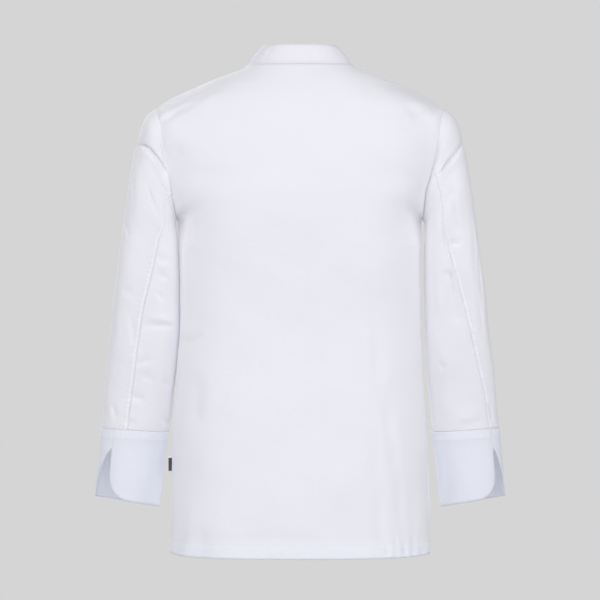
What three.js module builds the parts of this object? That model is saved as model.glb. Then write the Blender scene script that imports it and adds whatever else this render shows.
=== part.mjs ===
// A long-sleeved chef jacket, filled out as if worn, with nobody in it.
// Millimetres, +Z up. The wearer faces -Y, and the wearer's left is +X.
// The origin is the middle of the neck opening, level with the neck ends of the shoulder seams.
// Each panel is a thin curved wall: an outer grid of points, an inner grid one cloth thickness in, and a rim.
import * as THREE from "three";

// Driving sizes.
const clothThick = 1.6; // panels and sleeves
const doubleThick = 2.2; // collar and cuffs, two layers with interfacing
const seamGap = 0.4; // left between the back and the fronts
const seamHalfAngle = 0.25; // half the gap of a sleeve's seams, as an angle round it
const hemZ = -751; // length from the neck point of the shoulder to the hem
const neckPointZ = 7; // neck end of the shoulder seam
const shoulderTipZ = -62; // sleeve end of the shoulder seam
const underarmZ = -235;
const neckHalf = 80.5; // half the neck opening at the shoulder seams
const backNeckZ = 3;
const frontNeckZ = -75;
const armholeHalfDepth = 75; // half the armhole from front to back
const armholeSquare = 2.2; // roundness of the armhole: 2 is an ellipse
const stretchSteps = [-40, -25, -12, 0, 12, 25, 40]; // heights over which the armhole's pull on the body is evened out
const neckColumn = 0.4; // how far across a panel the neck point lies
const lapLift = 2.8; // the outer front lies this far out over the under front
const lapFade = { from: 88, to: 135, seam: 35 }; // where that lift dies away, across the front and by the shoulder seam
const backSteps = { shoulder: 8, neck: 8 };
const frontSteps = { shoulder: 7, neck: 9 };
const hemSteps = 12; // rows of points from the hem to the underarm
const armholeSteps = 14; // rows from the underarm to the shoulder tip
const sleeveRows = 26;
const cuffRows = 7;
const cuffColumns = 30;
const collarRows = 4;

// Level sections of the body. half is half the width at the side seam, the armhole edge or the
// shoulder seam; back and front are the depths behind and before the side seams; backSquare and
// frontSquare are the exponents of the section's curve, where 2 is an ellipse.
const bodySections = [
  { z: 8, half: 80, back: 57, front: 24, backSquare: 2.2, frontSquare: 2.2 },
  { z: 2, half: 87, back: 59, front: 30, backSquare: 2.2, frontSquare: 2.2 },
  { z: -2, half: 96, back: 62, front: 34, backSquare: 2.2, frontSquare: 2.2 },
  { z: -17, half: 135, back: 72, front: 46, backSquare: 2.2, frontSquare: 2.2 },
  { z: -33, half: 172, back: 81, front: 60, backSquare: 2.2, frontSquare: 2.2 },
  { z: -48, half: 204, back: 89, front: 71, backSquare: 2.2, frontSquare: 2.2 },
  { z: -62, half: 222, back: 95, front: 81, backSquare: 2.2, frontSquare: 2.2 },
  { z: -80, half: 217, back: 101, front: 92, backSquare: 2.2, frontSquare: 2.2 },
  { z: -126, half: 209, back: 112, front: 112, backSquare: 2.3, frontSquare: 2.2 },
  { z: -165, half: 203, back: 117, front: 123, backSquare: 2.3, frontSquare: 2.2 },
  { z: -200, half: 196, back: 119, front: 129, backSquare: 2.4, frontSquare: 2.2 },
  { z: -235, half: 190, back: 118, front: 131, backSquare: 2.4, frontSquare: 2.2 },
  { z: -300, half: 185.5, back: 114, front: 130, backSquare: 2.4, frontSquare: 2.2 },
  { z: -390, half: 184, back: 109, front: 126, backSquare: 2.4, frontSquare: 2.2 },
  { z: -440, half: 186.5, back: 111, front: 125, backSquare: 2.45, frontSquare: 2.2 },
  { z: -516, half: 193, back: 118, front: 127, backSquare: 2.55, frontSquare: 2.25 },
  { z: -594, half: 197, back: 124, front: 130, backSquare: 2.7, frontSquare: 2.3 },
  { z: -665, half: 199, back: 129, front: 133, backSquare: 2.8, frontSquare: 2.35 },
  { z: -751, half: 201, back: 132, front: 136, backSquare: 2.9, frontSquare: 2.4 },
];

// Where the free edge of each front lies, as a share of the way from the centre to the side.
const lapEdge = [
  { z: -751, share: 0.205 },
  { z: -480, share: 0.235 },
  { z: -235, share: 0.255 },
  { z: -130, share: 0.28 },
  { z: -20, share: 0.31 },
];

// Soft troughs in the body cloth, from one end to the other across the panel and up it.
const bodyTroughs = [
  { face: "back", fromX: 216, fromZ: -84, toX: 112, toZ: -20, width: 10, depth: 3 },
  { face: "back", fromX: -208, fromZ: -100, toX: -150, toZ: -42, width: 13, depth: 3.5 },
  { face: "back", fromX: 186, fromZ: -236, toX: 150, toZ: -205, width: 11, depth: 3 },
  { face: "back", fromX: -190, fromZ: -235, toX: -160, toZ: -190, width: 11, depth: 2.5 },
  { face: "back", fromX: 158, fromZ: -452, toX: 160, toZ: -575, width: 17, depth: 4 },
  { face: "back", fromX: -122, fromZ: -560, toX: -140, toZ: -770, width: 14, depth: 4 },
  { face: "back", fromX: -156, fromZ: -500, toX: -170, toZ: -770, width: 11, depth: 4.5 },
  { face: "back", fromX: -180, fromZ: -600, toX: -192, toZ: -770, width: 8, depth: 4 },
  { face: "back", fromX: 60, fromZ: -560, toX: 78, toZ: -770, width: 24, depth: 3 },
  { face: "front", fromX: 190, fromZ: -236, toX: 120, toZ: -170, width: 14, depth: 4 },
  { face: "front", fromX: -190, fromZ: -236, toX: -125, toZ: -176, width: 13, depth: 3.5 },
  { face: "front", fromX: 150, fromZ: -470, toX: 158, toZ: -770, width: 17, depth: 4.5 },
  { face: "front", fromX: -146, fromZ: -500, toX: -160, toZ: -770, width: 16, depth: 5 },
];

// Rings of a sleeve, from the armhole to the cuff seam. out is the ring's outermost point and in is
// its innermost, next to the body; midY is its middle from front to back and depth its half depth;
// seamLeft and seamRight are the angle of each sleeve's back seam, from 0 outside through 90 behind.
const sleeveRings = [
  { outX: 222, outZ: -62, inX: 190, inZ: -235, midY: 0, depth: 75, square: 2.2, seamLeft: 125, seamRight: 97 },
  { outX: 238, outZ: -74, inX: 193, inZ: -239.5, midY: 0, depth: 76.5, square: 2.2, seamLeft: 124.5, seamRight: 100 },
  { outX: 247, outZ: -93, inX: 193.5, inZ: -246, midY: 0, depth: 77.5, square: 2.2, seamLeft: 124, seamRight: 103 },
  { outX: 254, outZ: -122, inX: 193, inZ: -256, midY: 0, depth: 78, square: 2.2, seamLeft: 122.5, seamRight: 105 },
  { outX: 262.5, outZ: -168, inX: 192, inZ: -272, midY: 0, depth: 78, square: 2.2, seamLeft: 119, seamRight: 104 },
  { outX: 270, outZ: -218, inX: 191, inZ: -298, midY: -2, depth: 76, square: 2.2, seamLeft: 107, seamRight: 99.5 },
  { outX: 279, outZ: -285, inX: 190, inZ: -338, midY: -5, depth: 73, square: 2.2, seamLeft: 98, seamRight: 91 },
  { outX: 289, outZ: -360, inX: 190, inZ: -392, midY: -9, depth: 68, square: 2.2, seamLeft: 88, seamRight: 79 },
  { outX: 297.5, outZ: -438, inX: 195, inZ: -456, midY: -15, depth: 61, square: 2.15, seamLeft: 83.5, seamRight: 66 },
  { outX: 306.5, outZ: -512, inX: 202.5, inZ: -522, midY: -23, depth: 54, square: 2.1, seamLeft: 82.5, seamRight: 55 },
  { outX: 311.5, outZ: -560, inX: 208, inZ: -567, midY: -28, depth: 50, square: 2.1, seamLeft: 82, seamRight: 51 },
];
const frontSeam = -120; // angle of both sleeves' front seams

// The two sleeves hang a little differently. slit is the angle of the cuff's slit. The deep crease runs round the back of the sleeve head from near the outside down to the armhole.
const sleeveSides = [
  {
    side: "left",
    sign: 1,
    seam: "seamLeft",
    slit: 58,
    crease: { fromAngle: 0, fromDown: 66, toAngle: 100, toDown: 6, bow: 12, depth: 9 },
    troughs: [
      { angle: 30, down: 130, spread: 55, width: 12, depth: 2.5, slope: 0.4 },
      { angle: 130, down: 215, spread: 45, width: 9, depth: 3, slope: -0.3 },
      { angle: 120, down: 275, spread: 50, width: 10, depth: 3.5, slope: 0.25 },
      { angle: 45, down: 345, spread: 50, width: 12, depth: 3, slope: -0.35 },
      { angle: 110, down: 395, spread: 55, width: 10, depth: 3, slope: 0.3 },
      { angle: 230, down: 200, spread: 55, width: 12, depth: 4, slope: 0.35 },
      { angle: 250, down: 262, spread: 60, width: 11, depth: 4.5, slope: -0.3 },
      { angle: 235, down: 330, spread: 55, width: 11, depth: 3.5, slope: 0.3 },
      { angle: 285, down: 400, spread: 50, width: 12, depth: 3, slope: -0.3 },
    ],
  },
  {
    side: "right",
    sign: -1,
    seam: "seamRight",
    slit: 47,
    crease: { fromAngle: 0, fromDown: 60, toAngle: 97, toDown: 16, bow: 0, depth: 9 },
    troughs: [
      { angle: 55, down: 150, spread: 40, width: 12, depth: 2.5, slope: -0.2 },
      { angle: 60, down: 228, spread: 40, width: 8, depth: 3, slope: 0.05 },
      { angle: 105, down: 290, spread: 45, width: 11, depth: 3.5, slope: 0.5 },
      { angle: 95, down: 352, spread: 40, width: 11, depth: 3, slope: 0.6 },
      { angle: 80, down: 440, spread: 45, width: 10, depth: 3, slope: -0.5 },
      { angle: 235, down: 190, spread: 55, width: 12, depth: 4, slope: -0.35 },
      { angle: 245, down: 255, spread: 60, width: 11, depth: 4.5, slope: 0.3 },
      { angle: 230, down: 322, spread: 55, width: 11, depth: 3.5, slope: -0.3 },
      { angle: 280, down: 390, spread: 50, width: 12, depth: 3, slope: 0.3 },
    ],
  },
];

// Rings of a cuff, from its seam to its lower edge. frontDrop is how far the front of a ring hangs
// below its middle.
const cuffRings = [
  { down: 0, outX: 312.5, outZ: -560.7, inX: 207, inZ: -567.7, midY: -28, depth: 51, square: 2.1, frontDrop: 0 },
  { down: 24, outX: 315, outZ: -585, inX: 211, inZ: -593, midY: -31, depth: 51.5, square: 2.1, frontDrop: 1 },
  { down: 64, outX: 319, outZ: -625, inX: 216, inZ: -637, midY: -34, depth: 54, square: 2.05, frontDrop: 3 },
  { down: 109, outX: 323.5, outZ: -669, inX: 222, inZ: -686, midY: -38, depth: 57, square: 2, frontDrop: 5 },
];
const cuffLength = 109;
const cuffSlit = {
  top: 27, // the slit starts this far below the cuff seam
  closedGap: 0.5,
  roundRadius: 38, // the rounded corner of the under flap
  openTo: 3, // angle that the outer flap's corner swings round to
  underDrift: 3, // angle that the under flap's edge drifts the other way
};

// The stand collar's upper edge, and how it bows between its two edges.
const collarTop = { half: 59, back: 49, front: 81, backZ: 33.5, sideZ: 35, frontZ: -41, square: 2.3 };
const collarShape = { bow: 1.6, lift: 1.5, inset: 1.2, endGap: 1.5, cornerRadius: 14 };

const button = { radius: 9, thick: 3.4, rim: 1.2, dish: 0.8, rows: 5, topZ: -98, pitch: 98, fromCentre: 62 };
const tag = { height: 25, reach: 7.5, thick: 1.2, topZ: -604, lean: 0.62 };

const radians = (degrees) => (degrees * Math.PI) / 180;
const mix = (a, b, t) => a + (b - a) * t;
const clamp01 = (t) => Math.min(1, Math.max(0, t));
const ease = (t) => clamp01(t) ** 2 * (3 - 2 * clamp01(t));
const bell = (t) => Math.exp(-t * t);
const signedPower = (value, power) => Math.sign(value) * Math.abs(value) ** power;

// Smooth value of one column where the key column is at `at`, without overshoot between rows.
function read(table, key, column, at) {
  const rising = table[table.length - 1][key] > table[0][key];
  const rows = rising ? table : [...table].reverse();
  const last = rows.length - 1;
  if (at <= rows[0][key]) return rows[0][column];
  if (at >= rows[last][key]) return rows[last][column];
  const i = rows.findIndex((row, k) => k < last && at <= rows[k + 1][key]);
  const step = (k) => (rows[k + 1][column] - rows[k][column]) / (rows[k + 1][key] - rows[k][key]);
  const slopeAt = (k) => {
    if (k === 0) return step(0);
    if (k === last) return step(last - 1);
    const before = step(k - 1);
    const after = step(k);
    return before * after <= 0 ? 0 : (2 * before * after) / (before + after);
  };
  const width = rows[i + 1][key] - rows[i][key];
  const t = (at - rows[i][key]) / width;
  const start = (1 + 2 * t) * (1 - t) ** 2 * rows[i][column] + t * (1 - t) ** 2 * width * slopeAt(i);
  const end = t * t * (3 - 2 * t) * rows[i + 1][column] + t * t * (t - 1) * width * slopeAt(i + 1);
  return start + end;
}

// Evenly spaced values from one to another, both included.
const spread = (from, to, steps) => Array.from({ length: steps + 1 }, (_, i) => mix(from, to, i / steps));

// Half the armhole's depth at a height, and 0 above and below it.
function armholeDepth(z) {
  const middle = (shoulderTipZ + underarmZ) / 2;
  const halfHeight = (shoulderTipZ - underarmZ) / 2;
  const share = Math.abs(z - middle) / halfHeight;
  if (share >= 1) return 0;
  return armholeHalfDepth * (1 - share ** armholeSquare) ** (1 / armholeSquare);
}

// Height on the armhole edge at an angle from the shoulder tip (0) to the underarm (180).
function armholeZ(angle) {
  const middle = (shoulderTipZ + underarmZ) / 2;
  const halfHeight = (shoulderTipZ - underarmZ) / 2;
  return middle + halfHeight * signedPower(Math.cos(radians(angle)), 2 / armholeSquare);
}

// How much wider than the panel the body's section would be if the armhole didn't cut it off.
function armholeStretch(face, z) {
  const square = read(bodySections, "z", face + "Square", z);
  const edge = armholeDepth(z) / read(bodySections, "z", face, z);
  return 1 / (1 - edge ** square) ** (1 / square);
}

// Depth of the body's surface at a place across and up it. face is "back" or "front".
function bodyY(face, x, z) {
  const depth = read(bodySections, "z", face, z);
  const square = read(bodySections, "z", face + "Square", z);
  const half = read(bodySections, "z", "half", z);
  const softened = stretchSteps.reduce((sum, step) => sum + armholeStretch(face, z + step), 0) / stretchSteps.length;
  const section = (at) => depth * (1 - Math.min(1, at / (half * softened)) ** square) ** (1 / square);
  const across = Math.min(half, Math.abs(x));
  const toEdge = (armholeDepth(z) - section(half)) * (across / half) ** 12;
  const y = section(across) + toEdge + seamGap / 2;
  return face === "back" ? y : -y;
}

// Top edge of a panel: the neckline near the centre, then the shoulder seam.
function topEdge(face, share) {
  const across = Math.abs(share);
  if (across <= neckColumn) {
    const angle = radians((90 * across) / neckColumn);
    const round = 2 / 2.2;
    const centreZ = face === "back" ? backNeckZ : frontNeckZ;
    return {
      x: Math.sign(share) * neckHalf * signedPower(Math.sin(angle), round),
      z: mix(neckPointZ, centreZ, Math.cos(angle) ** 1.15),
    };
  }
  const z = mix(neckPointZ, shoulderTipZ, (across - neckColumn) / (1 - neckColumn));
  return { x: Math.sign(share) * read(bodySections, "z", "half", z), z };
}

// Place on a panel. share runs from -1 at the right side seam to 1 at the left one. rise is below 0
// from the hem to the underarm, and from 0 to 1 between the underarm and the top edge.
function panelPlace(face, share, rise) {
  const square = read(bodySections, "z", face + "Square", rise < 0 ? hemZ * -rise + underarmZ * (1 + rise) : underarmZ);
  const turn = signedPower(Math.sin(radians(90 * share)), 2 / square);
  if (rise < 0) {
    const z = mix(underarmZ, hemZ, -rise);
    return { x: read(bodySections, "z", "half", z) * turn, z };
  }
  const top = topEdge(face, share);
  const low = { x: read(bodySections, "z", "half", underarmZ) * turn, z: underarmZ };
  const edgeZ = mix(underarmZ, shoulderTipZ, rise);
  const straight = mix(read(bodySections, "z", "half", underarmZ), read(bodySections, "z", "half", shoulderTipZ), rise);
  const hollow = read(bodySections, "z", "half", edgeZ) - straight;
  return { x: mix(low.x, top.x, rise) + share * hollow, z: mix(low.z, top.z, rise) };
}

// How far the troughs press the body cloth in at a place.
function bodyTroughDepth(face, x, z) {
  let depth = 0;
  for (const trough of bodyTroughs) {
    if (trough.face !== face) continue;
    const runX = trough.toX - trough.fromX;
    const runZ = trough.toZ - trough.fromZ;
    const length = Math.hypot(runX, runZ);
    const along = ((x - trough.fromX) * runX + (z - trough.fromZ) * runZ) / length ** 2;
    const aside = ((x - trough.fromX) * runZ - (z - trough.fromZ) * runX) / length;
    depth += trough.depth * bell(aside / trough.width) * ease(along * 4) * ease((1 - along) * 4);
  }
  return depth;
}

// The way the body's surface faces at a place across and up it.
function bodyFacing(face, x, z) {
  const step = 3;
  const point = (atX, atZ) => new THREE.Vector3(atX, bodyY(face, atX, atZ), atZ);
  const across = point(x + step, z).sub(point(x - step, z));
  const up = point(x, z + step).sub(point(x, z - step));
  const facing = across.cross(up).normalize();
  return face === "front" ? facing : facing.negate();
}

// A point of a panel's outer face, with its troughs, moved out by lift.
function panelPoint(face, at, lift = () => 0) {
  const point = new THREE.Vector3(at.x, bodyY(face, at.x, at.z), at.z);
  const out = lift(point) - bodyTroughDepth(face, at.x, at.z);
  return point.addScaledVector(bodyFacing(face, at.x, at.z), out);
}

// The rises of a panel's rows, from the hem to the top edge. They are closer where the armhole is rounder.
function panelRises() {
  const lower = spread(-1, 0, hemSteps).slice(0, -1);
  const upper = spread(180, 0, armholeSteps).map((angle) => (armholeZ(angle) - underarmZ) / (shoulderTipZ - underarmZ));
  return [...lower, ...upper];
}

// A closed wall from a grid of outer points, rows by columns. settle may move an inner point, and
// facings gives the way the cloth faces at each point where the grid alone doesn't tell it well.
function wallGeometry(outer, thick, settle = (point) => point, facings = null) {
  const rows = outer.length;
  const columns = outer[0].length;
  const at = (r, c) => outer[Math.min(rows - 1, Math.max(0, r))][Math.min(columns - 1, Math.max(0, c))];
  const inner = outer.map((row, r) =>
    row.map((point, c) => {
      const across = at(r, c + 1).clone().sub(at(r, c - 1));
      const along = at(r + 1, c).clone().sub(at(r - 1, c));
      const outward = facings ? facings[r][c] : across.cross(along).normalize();
      return settle(point.clone().addScaledVector(outward, -thick));
    }),
  );
  const positions = [...outer.flat(), ...inner.flat()].flatMap((p) => [p.x, p.y, p.z]);
  const skin = rows * columns;
  const id = (r, c, layer) => layer * skin + r * columns + c;
  const triangles = [];
  const quad = (a, b, c, d) => triangles.push(a, b, c, a, c, d);
  for (let r = 0; r < rows - 1; r++) {
    for (let c = 0; c < columns - 1; c++) {
      quad(id(r, c, 0), id(r, c + 1, 0), id(r + 1, c + 1, 0), id(r + 1, c, 0));
      quad(id(r, c, 1), id(r + 1, c, 1), id(r + 1, c + 1, 1), id(r, c + 1, 1));
    }
  }
  for (let c = 0; c < columns - 1; c++) {
    quad(id(0, c + 1, 0), id(0, c, 0), id(0, c, 1), id(0, c + 1, 1));
    quad(id(rows - 1, c, 0), id(rows - 1, c + 1, 0), id(rows - 1, c + 1, 1), id(rows - 1, c, 1));
  }
  for (let r = 0; r < rows - 1; r++) {
    quad(id(r, 0, 0), id(r + 1, 0, 0), id(r + 1, 0, 1), id(r, 0, 1));
    quad(id(r + 1, columns - 1, 0), id(r, columns - 1, 0), id(r, columns - 1, 1), id(r + 1, columns - 1, 1));
  }
  const geometry = new THREE.BufferGeometry();
  geometry.setAttribute("position", new THREE.BufferAttribute(new Float32Array(positions), 3));
  geometry.setIndex(triangles);
  geometry.computeVertexNormals();
  return geometry;
}

const clothWhite = new THREE.MeshStandardMaterial({ color: 0xeceaf4, roughness: 0.85, metalness: 0 });
const buttonWhite = new THREE.MeshStandardMaterial({ color: 0xf2f1f4, roughness: 0.35, metalness: 0 });
const tagWhite = new THREE.MeshStandardMaterial({ color: 0xe4e4ea, roughness: 0.7, metalness: 0 });

function namedMesh(name, geometry, material) {
  const mesh = new THREE.Mesh(geometry, material);
  mesh.name = name;
  return mesh;
}

// Keeps a wall's inner points on their own side of the side and shoulder seams.
const keepBehind = (point) => point.setY(Math.max(point.y, seamGap / 2));
const keepBefore = (point) => point.setY(Math.min(point.y, -seamGap / 2));

function makeBack() {
  const shares = [
    ...spread(1, neckColumn, backSteps.shoulder).slice(0, -1),
    ...spread(neckColumn, -neckColumn, backSteps.neck).slice(0, -1),
    ...spread(-neckColumn, -1, backSteps.shoulder),
  ];
  const places = panelRises().map((rise) => shares.map((share) => panelPlace("back", share, rise)));
  const grid = places.map((row) => row.map((at) => panelPoint("back", at)));
  const facings = places.map((row) => row.map((at) => bodyFacing("back", at.x, at.z)));
  return namedMesh("back", wallGeometry(grid, clothThick, keepBehind, facings), clothWhite);
}

// How far the outer front lies over the under front at a place.
function frontLift(at) {
  const across = 1 - ease((at.x - lapFade.from) / (lapFade.to - lapFade.from));
  return lapLift * across * ease(-at.y / lapFade.seam);
}

// One front, from its side seam past the centre to its free edge. sign is 1 for the wearer's left.
function makeFront(name, sign, lift) {
  const places = panelRises().map((rise) => {
    const edge = read(lapEdge, "z", "share", panelPlace("front", 0.3, rise).z);
    const shares = [
      ...spread(1, neckColumn, frontSteps.shoulder).slice(0, -1),
      ...spread(neckColumn, -edge, frontSteps.neck),
    ];
    const ordered = sign > 0 ? [...shares].reverse() : shares;
    return ordered.map((share) => panelPlace("front", sign * share, rise));
  });
  const grid = places.map((row) => row.map((at) => panelPoint("front", at, lift)));
  const facings = places.map((row) => row.map((at) => bodyFacing("front", at.x, at.z)));
  return namedMesh(name, wallGeometry(grid, clothThick, keepBefore, facings), clothWhite);
}

// A point on a ring given by its outermost and innermost points, at an angle from the outside.
function ringPoint(ring, angle, sign) {
  const along = signedPower(Math.cos(radians(angle)), 2 / ring.square);
  const aside = signedPower(Math.sin(radians(angle)), 2 / ring.square);
  return new THREE.Vector3(
    sign * ((ring.outX + ring.inX) / 2 + ((ring.outX - ring.inX) / 2) * along),
    ring.midY + ring.depth * aside,
    (ring.outZ + ring.inZ) / 2 + ((ring.outZ - ring.inZ) / 2) * along + (ring.frontDrop ?? 0) * aside,
  );
}

// The ring at a place along a table of rings, with a column `down` that measures the way along.
function ringAt(table, down) {
  const ring = {};
  for (const column of Object.keys(table[0])) ring[column] = read(table, "down", column, down);
  return ring;
}

// Sleeve rings with the way down the outside of the sleeve from the shoulder tip.
const measuredRings = sleeveRings.map((ring, i) => {
  const way = sleeveRings.slice(1, i + 1).reduce((sum, next, k) => {
    const last = sleeveRings[k];
    return sum + Math.hypot(next.outX - last.outX, next.outZ - last.outZ);
  }, 0);
  return { ...ring, down: way };
});
const sleeveLength = measuredRings[measuredRings.length - 1].down;

// How far the sleeve cloth is pressed in at an angle and a way down it.
function sleeveTroughDepth(hang, angle, down) {
  const { crease } = hang;
  const run = (angle - crease.fromAngle) / (crease.toAngle - crease.fromAngle);
  const bowed = mix(crease.fromDown, crease.toDown, run) + crease.bow * Math.sin(Math.PI * clamp01(run));
  const below = down - bowed;
  const softness = below < 0 ? 26 : 7;
  const ends = ease((run + 0.18) * 4) * ease((1 - run) * 6);
  let depth = crease.depth * Math.exp(-((below / softness) ** 2)) * ends;
  for (const trough of hang.troughs) {
    const turned = ((angle - trough.angle + 540) % 360) - 180;
    const aside = down - trough.down - trough.slope * turned;
    depth += trough.depth * bell(aside / trough.width) * bell(turned / trough.spread);
  }
  return depth * ease(down / 12) * ease((sleeveLength - down) / 25);
}

function sleevePoint(hang, angle, down) {
  const ring = ringAt(measuredRings, down);
  const point = ringPoint(ring, angle, hang.sign);
  const middle = new THREE.Vector3((hang.sign * (ring.outX + ring.inX)) / 2, ring.midY, (ring.outZ + ring.inZ) / 2);
  const outward = point.clone().sub(middle).normalize();
  point.addScaledVector(outward, -sleeveTroughDepth(hang, angle, down));
  if (down === 0) point.x += hang.sign * 1.2;
  return point;
}

// The places of the sleeve's rows: close together round the sleeve head.
function sleeveDowns() {
  return spread(0, 1, sleeveRows - 1).map((t) => sleeveLength * mix(t, t * t, 0.45));
}

// The way the sleeve's cloth faces.
function sleeveFacing(hang, angle, down) {
  const from = Math.max(0.01, down - 3);
  const to = Math.min(sleeveLength, down + 3);
  const around = sleevePoint(hang, angle + 3, down).sub(sleevePoint(hang, angle - 3, down));
  const along = sleevePoint(hang, angle, from).sub(sleevePoint(hang, angle, to));
  return around.cross(along).normalize().multiplyScalar(hang.sign);
}

function makeSleevePiece(name, hang, which) {
  const upper = which === "top";
  const places = sleeveDowns().map((down) => {
    const back = ringAt(measuredRings, down)[hang.seam];
    const angles = upper
      ? spread(frontSeam + seamHalfAngle, back - seamHalfAngle, 18)
      : spread(back + seamHalfAngle, frontSeam + 360 - seamHalfAngle, 12);
    const ordered = hang.sign > 0 ? angles : [...angles].reverse();
    return ordered.map((angle) => ({ angle, down }));
  });
  places.reverse();
  const gridOf = (make) => places.map((row) => row.map(({ angle, down }) => make(hang, angle, down)));
  const same = (point) => point;
  return namedMesh(name, wallGeometry(gridOf(sleevePoint), clothThick, same, gridOf(sleeveFacing)), clothWhite);
}

// One cuff: it starts at the slit's under flap, runs round inside and ends at the outer flap.
function makeCuff(hang) {
  const aroundLength = 320;
  const around = spread(0, 1, cuffColumns).map((t) => t ** 1.35);
  const grid = spread(0, 1, cuffRows).map((share) =>
    around.map((way) => {
      const fromSlit = way * aroundLength;
      const inCorner = Math.max(0, cuffSlit.roundRadius - fromSlit);
      const cut = cuffSlit.roundRadius - Math.sqrt(Math.max(0, cuffSlit.roundRadius ** 2 - inCorner ** 2));
      const down = share * (cuffLength - cut);
      const ring = ringAt(cuffRings, down);
      const open = ease((down - cuffSlit.top) / 12) * clamp01((down - cuffSlit.top + 4) / (cuffLength - cuffSlit.top));
      const gapAngle = (cuffSlit.closedGap / 2 / 50 / Math.PI) * 180;
      const start = hang.slit + gapAngle + cuffSlit.underDrift * open;
      const end = 360 + mix(hang.slit - gapAngle, cuffSlit.openTo, open);
      return ringPoint(ring, mix(start, end, way), hang.sign);
    }),
  );
  const ordered = grid.map((row) => (hang.sign > 0 ? row : [...row].reverse()));
  return namedMesh("cuff_" + hang.side, wallGeometry([...ordered].reverse(), doubleThick), clothWhite);
}

// The neckline, from the centre front on the wearer's right (-180) through the centre back (0) to 180.
function necklinePoint(angle) {
  const face = Math.abs(angle) <= 90 ? "back" : "front";
  const share = face === "back" ? angle / 90 : (Math.sign(angle) * (180 - Math.abs(angle))) / 90;
  const place = panelPlace(face, share * neckColumn, 1);
  const point = panelPoint(face, place, face === "front" ? frontLift : undefined);
  const inward = new THREE.Vector3(-point.x, -point.y, 0).normalize();
  return point.addScaledVector(inward, collarShape.inset).setZ(point.z + collarShape.lift);
}

function collarTopPoint(angle) {
  const turn = radians(angle);
  const forward = Math.cos(turn) > 0 ? collarTop.back : collarTop.front;
  const endZ = Math.cos(turn) > 0 ? collarTop.backZ : collarTop.frontZ;
  return new THREE.Vector3(
    collarTop.half * signedPower(Math.sin(turn), 2 / collarTop.square),
    forward * signedPower(Math.cos(turn), 2 / collarTop.square),
    mix(collarTop.sideZ, endZ, Math.abs(Math.cos(turn)) ** 1.15),
  );
}

function makeCollar() {
  const steps = 40;
  const reach = 180 - collarShape.endGap;
  const angles = spread(reach, -reach, steps).map((a, i) => reach * Math.sign(a) * (1 - (1 - Math.abs(a) / reach) ** 1.15));
  const grid = spread(0, 1, collarRows).map((rise) =>
    angles.map((angle) => {
      const base = necklinePoint(angle);
      const top = collarTopPoint(angle);
      const fromEnd = ((reach - Math.abs(angle)) / 180) * 250;
      const inCorner = Math.max(0, collarShape.cornerRadius - fromEnd);
      const cut = collarShape.cornerRadius - Math.sqrt(collarShape.cornerRadius ** 2 - inCorner ** 2);
      const share = rise * (1 - cut / base.distanceTo(top));
      const point = base.clone().lerp(top, share);
      const outward = new THREE.Vector3(point.x, point.y, 0).normalize();
      return point.addScaledVector(outward, collarShape.bow * Math.sin(Math.PI * clamp01(share)));
    }),
  );
  return namedMesh("collar", wallGeometry(grid, doubleThick), clothWhite);
}

// A round button with a raised rim, turned about its own axis.
function buttonGeometry() {
  const { radius, thick, rim, dish } = button;
  const profile = [
    [0, 0],
    [radius, 0],
    [radius, thick - 0.9],
    [radius - 0.8, thick],
    [radius - 0.8 - rim, thick],
    [radius - 2.2 - rim, thick - dish],
    [0, thick - dish],
  ].map(([x, y]) => new THREE.Vector2(x, y));
  return new THREE.LatheGeometry(profile, 14).rotateX(Math.PI / 2);
}

function makeButtons() {
  const made = [];
  for (const [column, x] of [
    ["left", button.fromCentre],
    ["right", -button.fromCentre],
  ]) {
    for (let row = 0; row < button.rows; row++) {
      const z = button.topZ - row * button.pitch;
      const facing = bodyFacing("front", x, z);
      const point = new THREE.Vector3(x, bodyY("front", x, z), z).addScaledVector(facing, lapLift);
      const mesh = namedMesh("button_" + column + "_" + (row + 1), buttonGeometry(), buttonWhite);
      mesh.position.copy(point.addScaledVector(facing, 0.5));
      mesh.quaternion.setFromUnitVectors(new THREE.Vector3(0, 0, 1), facing);
      made.push(mesh);
    }
  }
  return made;
}

// A small folded tag that stands out of the left side seam.
function makeTag() {
  const outline = new THREE.Shape();
  outline.moveTo(0, -tag.thick / 2);
  outline.lineTo(tag.reach - tag.thick / 2, -tag.thick / 2);
  outline.absarc(tag.reach - tag.thick / 2, 0, tag.thick / 2, -Math.PI / 2, Math.PI / 2, false);
  outline.lineTo(0, tag.thick / 2);
  const geometry = new THREE.ExtrudeGeometry(outline, { depth: tag.height, bevelEnabled: false, curveSegments: 4 });
  const middleZ = tag.topZ - tag.height / 2;
  const half = read(bodySections, "z", "half", middleZ);
  const lean = Math.atan(tag.lean);
  geometry.rotateZ(lean);
  geometry.translate(half + 1.4, 0.3, tag.topZ - tag.height);
  return namedMesh("side_tag", geometry, tagWhite);
}

const jacket = new THREE.Group();
jacket.name = "chef_jacket";
jacket.add(makeBack());
jacket.add(makeFront("front_left", 1, frontLift));
jacket.add(makeFront("front_right", -1, () => 0));
jacket.add(makeCollar());
for (const hang of sleeveSides) {
  jacket.add(makeSleevePiece("sleeve_top_" + hang.side, hang, "top"));
  jacket.add(makeSleevePiece("sleeve_under_" + hang.side, hang, "under"));
  jacket.add(makeCuff(hang));
}
makeButtons().forEach((mesh) => jacket.add(mesh));
jacket.add(makeTag());

export default jacket;
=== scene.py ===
import math

import bmesh
import bpy
import numpy as np
from mathutils import Matrix, Vector


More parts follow.
